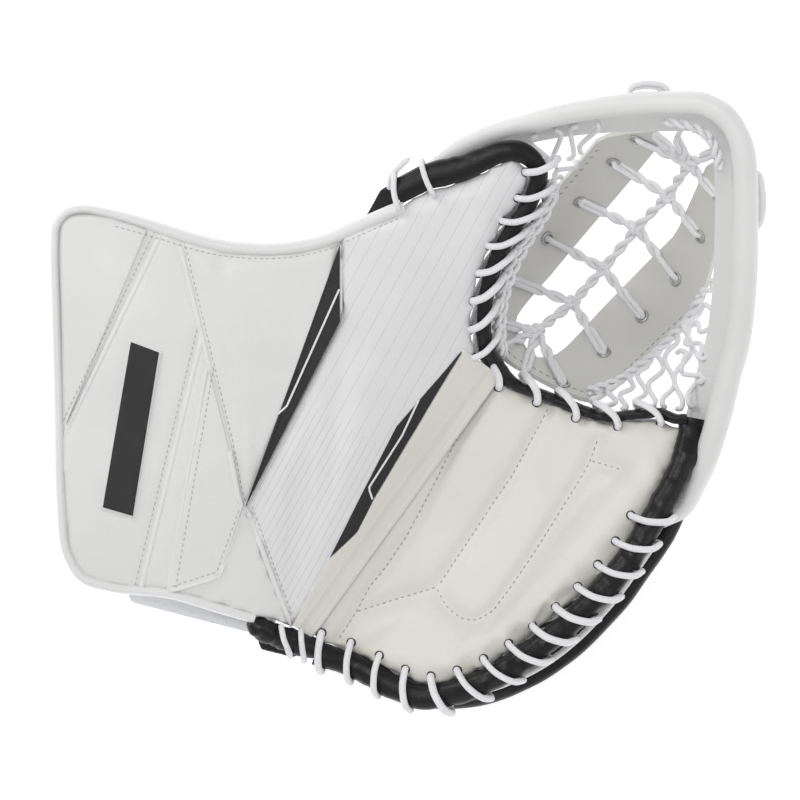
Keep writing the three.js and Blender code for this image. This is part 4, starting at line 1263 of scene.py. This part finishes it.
# %% The stiffener boards keep their CAD shape
for node in ("cuff_stiffener", "thumb_stiffener", "palm_stiffener"):
    stiffener = frame["nodes"][node]
    for socket in stiffener.material_slots:
        socket.material = BOARD

# %% [markdown]
# ## The rim
# A fat white roll carries the pocket from the thumb's tip round to the palm. It is one piece of
# foam under leather, made in two lengths that meet exactly; both are built where they lie and
# ride on no body. The web turns half as far as the palm about the same fold.

# %% The rim's roll
rim_line = flow(BEAD_ROUTE, 2.5)
rim_side, rim_up = framed(rim_line)
rim_run = np.linspace(0, 1, len(rim_line))
rim_thick = np.interp(rim_run, [0, 0.05, 0.25, 0.45, 0.6, 0.9, 0.97, 1], [3.2, 5.6, 6.2, 6.8, 7.4, 7.2, 6.0, 2.5])
corner_at = int(np.argmin(np.linalg.norm(rim_line[:, :2] - (188, 153), axis=1)))
SPLIT = int(np.argmin(np.linalg.norm(rim_line[:, :2] - (187, 12.6), axis=1)))
rim_gather = puckers(8, 3.2, 1.0, 30)
rim_drift = puckers(9, 26, 0.35, 70)


def rim_spot(first):
    def spot(i, j):
        k = i + first
        turn = math.tau * j / 24
        near_corner = math.exp(-((k - corner_at) / 9) ** 2)
        along_rim = (k * 2.5, turn % math.tau)
        radius = rim_thick[k] + rim_gather(*along_rim) * near_corner + rim_drift(*along_rim)
        return round_at(rim_line[k], rim_side[k], rim_up[k], radius, turn)
    return spot


rim_first = wrap("rim_roll_upper", SPLIT, 24, rim_spot(0), WHITE_EDGE, run=SPLIT * 2.5)
rim_last = wrap("rim_roll_lower", len(rim_line) - 1 - SPLIT, 24, rim_spot(SPLIT), WHITE_EDGE, run=110)
TO_WEB = ("thumb_side", "web", place(45, 0, 0), place(150, 0, 0))
TO_PALM = ("thumb_side", "palm_side", place(0, 85, 0), place(0, -60, 0))
declare(rim_first, TO_WEB, "white_leather", "rim_thumb_end", "rim_bead")
declare(rim_last, TO_PALM, "white_leather", "rim_palm_end")


# %% The wall below the rim
def wall_spot(first, last):
    line = rim_line[first:last + 1]
    side = sideways(line)

    def spot(i, j):
        t = j / 10
        inset = 2 + 14 * t * np.interp((i + first) / len(rim_line), [0, 0.1, 0.3, 0.9, 1], [0.2, 0.45, 0.8, 1, 0.5])
        deep = 4 + 34 * t * np.interp((i + first) / len(rim_line), [0, 0.15, 0.3, 0.8, 1], [0.2, 0.5, 1, 0.9, 0.3])
        sag = 1.5 * math.sin(math.pi * t)
        x, y = line[i][:2] - side[i] * (inset - sag)
        return x, y, line[i][2] - deep
    return spot


wall_first = wrap("rim_wall_upper", SPLIT - 8, 10, wall_spot(8, SPLIT), WHITE, closed=False, run=400, thickness=2.4)
wall_last = wrap("rim_wall_lower", len(rim_line) - 6 - SPLIT, 10, wall_spot(SPLIT, len(rim_line) - 6), WHITE,
                 closed=False, run=100, thickness=2.4)
declare(wall_first, TO_WEB, "white_leather", "rim_wall")
declare(wall_last, TO_PALM, "white_leather")

# %% [markdown]
# ## The web
# The pocket is a U-shaped strap of double leather with stitched edges. Laces come up through
# its eyelets and are knotted into a net that fills the slot.

# %% The U-shaped strap
strap_outer = flow([(112.8, 148), (94.5, 126), (75.1, 104.9), (58, 84), (50.5, 66), (50.5, 48), (55, 34), (63, 23.5),
                    (76, 16), (90, 8.5), (102, 3), (112, 0.8), (133.3, 14.9), (156.2, 36.1), (171, 50)], 6)
strap_right = flow([(176, 60), (181, 80), (184.5, 100), (184, 120), (181, 136)], 6)
slot_line = flow([(175.5, 134), (165.3, 107.5), (160.7, 97.2), (149.9, 85.8), (122, 57), (95, 29.2), (89.8, 26.3),
                  (83.5, 24.6), (76.6, 26.9), (72.6, 32.6), (68.6, 40), (67.5, 46.3), (91.5, 76.6), (114.4, 104.1),
                  (132, 125), (149, 146)], 6)
strap_top = [(146, 154), (130, 153), (119, 151)]
strap_outline = np.vstack([strap_outer, strap_right, slot_line, strap_top])
web_strap = panel("web_strap_leather", strap_outline, web_top, 3, 4.5, STRAP, bevel=0.8)
declare(web_strap, "web", "strap_leather", "web_strap")
web_tree = tree_of(web_strap)

# %% Eyelets: one rounded ring, set eleven times
EYELETS_ONE = [(136, 150), (124.1, 137.9), (105.8, 116.1), (86.4, 95), (65.2, 70.4)]
EYELETS_TWO = [(182, 118), (174.5, 95.5), (161.9, 70.9), (142.4, 49.2), (119.5, 28), (95, 9.7)]


def web_normal(x, y):
    dx = (web_top(x + 1, y) - web_top(x - 1, y)) / 2
    dy = (web_top(x, y + 1) - web_top(x, y - 1)) / 2
    return Vector((-dx, -dy, 1)).normalized()


bpy.ops.mesh.primitive_torus_add(major_segments=28, minor_segments=10, major_radius=3.5, minor_radius=0.95)
ring = bpy.context.active_object
ring_co = vertices_of(ring) * (1, 1, 0.8)
for number, (x, y) in enumerate(EYELETS_ONE + EYELETS_TWO, 1):
    eyelet = bpy.data.objects.new(f"eyelet_ring_{number:02d}", ring.data.copy())
    bpy.context.scene.collection.objects.link(eyelet)
    turn = np.array(Vector((0, 0, 1)).rotation_difference(web_normal(x, y)).to_matrix())
    put(eyelet, ring_co @ turn.T + (x, y, web_top(x, y)) + 0.6 * np.array(web_normal(x, y)))
    refresh(eyelet)
    settle(eyelet, f"eyelet_ring_{number:02d}", METAL)
    declare(eyelet, "web", "eyelet_metal", f"web_eyelet_{number:02d}")
bpy.data.objects.remove(ring)

# %% [markdown]
# ### The slot's net
# From each eyelet two laces run side by side over the strap, then wind round each other into a
# knot of the middle chain. The chain is wound from knot to knot, and each knot is a small
# crossing of loops.

# %% Legs, chain and knots
KNOTS = [(166, 136), (155.6, 119), (139, 101.2), (120, 77.5), (101.8, 57.2), (80, 40)]


def over(x, y, lift):
    return (x, y, web_top(x, y) + lift)


def leg(knot, eyelet, phase=0.0):
    start = np.array(eyelet, float)
    end = np.array(knot, float)
    points = [over(*start, 1.8), over(*(start * 0.7 + end * 0.3), 2.6), over(*(start * 0.35 + end * 0.65), 3.4),
              over(*end, 4.2)]
    strands = twisted(points, 1.6, turns=1.0, ease=0.42, phase=phase)
    normal = np.array(web_normal(*start))
    dive = np.array(over(*start, 1.8))
    return [np.vstack([dive - normal * 6, dive - normal * 1.0, strand[1:]]) for strand in strands]


slot_laces = []
for first, second in zip(KNOTS[:-1], KNOTS[1:]):
    ends = [over(*first, 4.2), over(*((np.array(first) + second) / 2), 3.6), over(*second, 4.2)]
    slot_laces += twisted(ends, 1.6, turns=1.5, phase=0.6)
pairs = list(zip(KNOTS, EYELETS_ONE)) + [(KNOTS[0], EYELETS_TWO[0])] + list(zip(KNOTS[1:], EYELETS_TWO[1:]))
pairs += [(KNOTS[5], (60, 44)), (KNOTS[5], (57.5, 30)), (KNOTS[5], (73, 17.5))]
pairs += [(KNOTS[0], (178.5, 141)), (KNOTS[0], (158, 149.5)), (KNOTS[0], (146, 152))]
for number, (knot, eyelet) in enumerate(pairs):
    slot_laces += leg(knot, eyelet, phase=number * 0.9)


def knot_loops(x, y, seed):
    """Two small loops that cross, for a knot of the net."""
    loops = []
    for k in range(2):
        angle = seed * 1.3 + k * math.pi / 2
        route = []
        for step in range(15):
            turn = math.tau * step / 14
            a = math.cos(turn) * 3.6
            b = math.sin(turn) * 1.8
            route.append((x + a * math.cos(angle) - b * math.sin(angle), y + a * math.sin(angle) + b * math.cos(angle),
                          web_top(x, y) + 4.2 + 1.2 * math.sin(2 * turn + k * math.pi)))
        loops.append(route)
    return loops


for number, knot in enumerate(KNOTS):
    slot_laces += knot_loops(*knot, seed=number)
slot_net = cords("slot_net_laces", slot_laces, 1.7, LACE, 8)
declare(slot_net, "web", "lace", "slot_net")

# %% [markdown]
# ## Whip laces
# One long lace is whipped round each edge: up through a hole in the board, over the binding and
# back underneath to the next hole. All of them lean back towards the start of their edge, each
# by its own slant, in millimetres along the edge.


# %% Route of a whip lace
BINDING_DROP = 14.5


def whip(path, holes, face, inset, width, slants, crest=3.0, reach=0.0):
    """The lace's route and its holes; it reaches past a binding of the given width."""
    stops = flow(path, count=holes)
    side = sideways(stops)
    route, spots = [], []
    for i, stop in enumerate(stops):
        slant = np.interp(i / (holes - 1), np.linspace(0, 1, len(slants)), slants)
        way = np.array((side[i][1], -side[i][0]))
        edge = face(*stop)

        def at(offset, z, lean=0.0):
            x, y = stop + side[i] * offset + way * slant * lean
            route.append((x, y, z))

        hole = stop - side[i] * inset
        spots.append(tuple(hole))
        hole_z = face(*hole)
        outside = width + 4.0 + reach
        at(-inset, min(edge, hole_z) - BINDING_DROP - 4)
        at(-inset, hole_z - 2)
        at(-inset + 0.8, hole_z + 3.8, -0.02)
        at(width * 0.4, edge + 3.0 + crest, 0.16)
        at(outside - 2.2, edge + 4.4, 0.62)
        at(outside, edge - 2.0, 0.95)
        at(outside, edge - BINDING_DROP + 3, 1.0)
        at(outside - 1.5, edge - BINDING_DROP - 3, 0.95)
        at(width / 2, edge - BINDING_DROP - 4.4, 0.6)
    return flow(route, 1.5), spots


thumb_whip, thumb_holes = whip(THUMB_EDGE[7:], 8, thumb_face, 3.5, 8.2, [-13, -17, -18, -17, -13])
palm_slants = [-12, -13, -14, -15, -14, -12, -9, -7]
palm_whip, palm_holes = whip(PALM_OUTER_EDGE[4:], 14, palm_face, 6, 10, palm_slants, reach=1.5)
pocket_whip, pocket_holes = whip(PALM_POCKET_EDGE[:7], 5, palm_face, 3.5, 5.2, [-13, -14, -12], crest=1.5)
laces = [
    ("thumb_whip_lace", thumb_whip, "thumb_side", "thumb_lacing"),
    ("palm_whip_lace", palm_whip, "palm_side", "palm_lacing"),
    ("pocket_whip_lace", pocket_whip, "palm_side", "pocket_lacing"),
]
for name, route, body, node in laces:
    declare(cords(name, [route], 2.2, LACE, 10, flat=0.85), body, "lace", node)


# %% Single laces: over the thumb's top edge and round the heel
def over_edge(points, tail=None):
    """One lace over an edge; with a tail radius its end is pinched."""
    route = flow(points, 1.4)
    if tail is None:
        return route, 1.9
    return route, np.interp(np.linspace(0, 1, len(route)), [0, 0.9, 1], [1.9, 1.9, tail])


top_z = thumb_face(10, 116)
single = [
    over_edge([(-1, 109, top_z - 4), (-1.5, 109.5, top_z + 3.5), (-3.5, 118, top_z + 4.6), (-3.5, 126, top_z + 2),
               (-3, 129.5, top_z - 8), (-3, 121, top_z - 20)]),
    over_edge([(19, 116.5, top_z - 3), (18.5, 117, top_z + 5), (15, 124, top_z + 6.5), (12.5, 132, top_z + 4.5),
               (12.5, 136, top_z - 6), (14, 128, top_z - 18)]),
    over_edge([(-6, 121, top_z - 12), (-5, 127, top_z - 4), (0, 133, top_z + 0.5), (5.7, 137.5, top_z + 2)], 0.5),
]
declare(cords("thumb_top_laces", single, 1.9, LACE, 10, 0.85), "thumb_side", "lace")
heel_laces = []
for x, y, z, lean in ((-68, -131, 88, 4.5), (-57, -134, 80, 1.5)):
    heel_laces.append(over_edge([
        (x, y, z - 6), (x, y + 0.5, z + 4), (x + lean * 0.3, y - 6, z + 6.2), (x + lean, y - 14, z + 1.5),
        (x + lean, y - 16, z - 8), (x + 1, y - 8, z - 14)]))
declare(cords("heel_laces", heel_laces, 1.9, LACE, 10, 0.85), "thumb_side", "lace")

# %% Painted shadow in the lace holes: a near-black ring round each hole
hole_shadow_rings = []
for spots, tree in ((thumb_holes, thumb_tree), (palm_holes, palm_tree), (pocket_holes, palm_tree)):
    for x, y in spots:
        z, normal = height_on(tree, x, y, 80)
        a, b = framed(np.array([(x, y, z), (x + normal.x, y + normal.y, z + normal.z)]))
        around = [round_at((x, y, z), a[0], b[0], 2.35, t) for t in np.linspace(0, math.tau, 13)]
        hole_shadow_rings.append((around, 0.55))
thumb_count = len(thumb_holes)
declare(cords("thumb_hole_shadows", hole_shadow_rings[:thumb_count], 0.5, HOLE_SHADOW, 5), "thumb_side", "black_leather")
declare(cords("palm_hole_shadows", hole_shadow_rings[thumb_count:], 0.5, HOLE_SHADOW, 5), "palm_side", "black_leather")

# %% [markdown]
# ## Nets round the pocket
# The gaps between the boards and the strap are closed by rows of laces. Each waves between its
# left and its right neighbour, links with them, and sags a little. A seeded draw shifts each
# wave, so the net looks tied by hand and comes out the same each time. The net beside the palm
# is built where it lies and rides on no body.

# %% Thumb's net
wander = np.random.default_rng(7)


def lifted(path, height):
    return [(x, y, height(x, y)) for x, y in path]


def linked(near, far, columns, rows, sag):
    """Laces side by side over a gap; each links with its left and its right neighbour in turn."""
    near, far = flow(near, count=columns * 4), flow(far, count=columns * 4)
    lengths = [np.linalg.norm(np.diff(line, axis=0), axis=1).sum() for line in (near, far)]
    space = (lengths[0] + lengths[1]) / 2 / columns
    strands = []
    for column in range(columns):
        start, end = near[column * 4 + 2], far[column * 4 + 2]
        run = end - start
        run /= np.linalg.norm(run)
        hand = 1 if column % 2 else -1
        aside = np.array((-run[1], run[0], 0)) * hand
        reach, high = space / 2 * 1.1, 1.7 * hand
        drift = wander.uniform(-0.8, 0.8, 2)
        points = [start - (0, 0, 7), start - (0, 0, 1.5)]
        for v in np.linspace(0, 1, rows * 8 + 1):
            wave = math.cos(math.pi * rows * v + 0.25 * drift[0])
            link = max(-1, min(1, 2.2 * math.sin(math.pi * rows * v + 0.25 * drift[1])))
            narrow = min(1, 6 * v + 0.3, 6 * (1 - v) + 0.3)
            point = start * (1 - v) + end * v + aside * reach * wave * narrow
            points.append(point + (0, 0, high * link - sag * 4 * v * (1 - v)))
        strands.append(flow([*points, end - (0, 0, 7)], 1.4))
    return strands


thumb_near = lifted(beside(flow(THUMB_EDGE[7:], count=9), 12.0), lambda x, y: thumb_face(x, y) - 9)
thumb_far = lifted([(104, 143), (96, 132), (76, 109), (62, 92)], lambda x, y: web_top(x, y) + 4)
rim_under = [(x, y - 8, z - 8) for x, y, z in flow(BEAD_ROUTE[3:6], count=6)]
below = [(x + 2.5, y - 2, z - 7) for x, y, z in thumb_near]
loops = twisted(thumb_near, 1.7, pitch=14) + twisted(below, 1.7, pitch=17, phase=1)
loops += linked(thumb_near[:6], thumb_far, 5, 2, 2.0)
loops += linked(rim_under[:5], [(80, 136, 94), (88, 134, 88), (97, 139, 88), (106, 143, 90)], 4, 1, 1.0)
thumb_net = cords("thumb_net_laces", loops, 1.55, LACE, 7)
TO_STRAP = ("thumb_side", "web", place(0, 0, 105), place(0, 0, 50))
declare(thumb_net, TO_STRAP, "lace", "thumb_net")

# %% Palm's net
palm_near = lifted(beside(flow(PALM_POCKET_EDGE[3:7], count=8), 6.5), lambda x, y: palm_face(x, y) - 9)
palm_near += [(161, -5, 84), (170, -3, 86)]
strap_edge = [(109, 5), (124.6, 10), (143, 22), (158, 36), (168, 47), (175, 60)]
palm_far = lifted(strap_edge, lambda x, y: web_top(x, y) + 4)
weave = linked(palm_near[1:], palm_far, 8, 3, 2.0)
rim_weave = twisted(palm_far, 1.8, pitch=14)
rim_weave += linked([(171, 3, 84), (175, 20, 84), (178, 38, 85), (180, 56, 87), (181, 72, 89)],
                    [(158, 24, 68), (165, 33, 64), (170, 42, 62), (173, 52, 64), (176, 64, 68)], 5, 2, 1.0)
palm_net = cords("palm_net_laces", weave, 1.55, LACE, 7)
FROM_STRAP = ("thumb_side", "palm_side", place(126.6, 51, 60), place(157.4, 14, 60))
declare(palm_net, FROM_STRAP, "lace", "palm_net")
declare(cords("rim_net_laces", rim_weave, 1.55, LACE, 7), "web", "lace")

# %% Loops of lace outside the rim
top_loop = [(131, 171, 127), (130.5, 176.5, 130), (136, 179, 133), (147, 178.5, 134), (151.5, 175.5, 132),
            (152, 170.5, 128)]
side_loop = [(199.5, 130, 126), (203.5, 127.5, 130), (205.5, 118, 131), (205.6, 107, 130), (203.5, 99, 127),
             (199, 98, 123)]
for name, loop, node in (("rim_loop_top", top_loop, "rim_lace_top"), ("rim_loop_side", side_loop, "rim_lace_side")):
    doubled = [flow(loop, 1.4), flow([(x * 0.995, y * 0.995 - 1.0, z - 3.4) for x, y, z in loop], 1.4)]
    declare(cords(name, doubled, 1.6, LACE, 9), "web", "lace", node)
corner_laces = twisted([(150, 158, 130), (160, 156, 132), (169, 153, 132), (176, 148, 132)], 1.6, pitch=14)
corner_laces += twisted([(176, 148, 132), (180, 139, 131), (181, 130, 130)], 1.6, pitch=12)
declare(cords("corner_net_laces", corner_laces, 1.6, LACE, 8), "web", "lace")

# %% [markdown]
# ## Stitching
# Each seam shows its thread: pale on the cuff, grey-green in the palm, black on the bindings
# and grey along the straps' edges.

# %% Seams of the cuff and thumb
cuff_layers = tree_of(cuff_face, corner, kite, cuff_edges, thumb_pad, upper, lower)
cuff_seams = [
    beside(SEAM_CORNER, -2.6), beside(SEAM_LONG, 2.0), beside(SEAM_SLANT, -1.6),
    beside([(-109.5, 20), (-132, -110.5)], 3.6),
    [(-130.5, -106.5), (-104.5, -98)], [(-104.5, -98), (-91.5, -62)], [(-84.5, -60), (-60.5, -127)],
    beside(flow(CUFF_EDGE[:8], 3), 9.4),
]
cuff_thread = stitches("cuff_stitches", cuff_seams, cuff_layers, PALE_THREAD, 3.4, 2.2, 0.3)
declare(cuff_thread, "thumb_side", "white_leather")
wedge_seams = [[(-37.5, 76), (-65, 0)], [(-67, -8), (-85.5, -55)]]
wedge_thread = stitches("wedge_stitches", wedge_seams, cuff_layers, BLACK_THREAD, 3.2, 2.2, 0.32)
declare(wedge_thread, "thumb_side", "accent_leather")
binding_tree = tree_of(thumb_binding, thumb_pad)
tip_seam = beside(flow(THUMB_EDGE[1:8], 3), 1.8)
binding_thread = stitches("thumb_binding_stitches", [tip_seam], binding_tree, BLACK_THREAD, 5.5, 2.6, 0.4)
declare(binding_thread, "thumb_side", "black_leather")

# %% Quilting of the palm
palm_thread = stitches("palm_stitches", PALM_SEAMS, palm_tree, THREAD, 3.6, 2.1, 0.28, lift=0.12)
declare(palm_thread, "palm_side", "palm_leather")

# %% Edges of the straps
strap_seams = [beside(slot_line, -3.2), beside(strap_outer, 3.2)]
declare(stitches("strap_stitches", strap_seams, web_tree, THREAD, 4.4, 2.6, 0.36), "web", "strap_leather")

# %% [markdown]
# ## Floor
# A plain pale floor under the glove. It glows a little, so that it stays white in the picture
# where the glove's soft shadow falls.

# %% Floor
bpy.ops.mesh.primitive_plane_add(size=12, location=(0, 0, 0))
floor = bpy.context.active_object
floor.name = "floor"
paper = Finish("studio floor", 0.9)
paper.colour(paper.ramp(paper.grain(3, 2), [(0.3, (0.86, 0.86, 0.86)), (0.7, (0.88, 0.88, 0.88))]))
paper.shader.inputs["Emission Color"].default_value = (1, 1, 1, 1)
paper.shader.inputs["Emission Strength"].default_value = 0.6
floor.data.materials.append(paper.material)
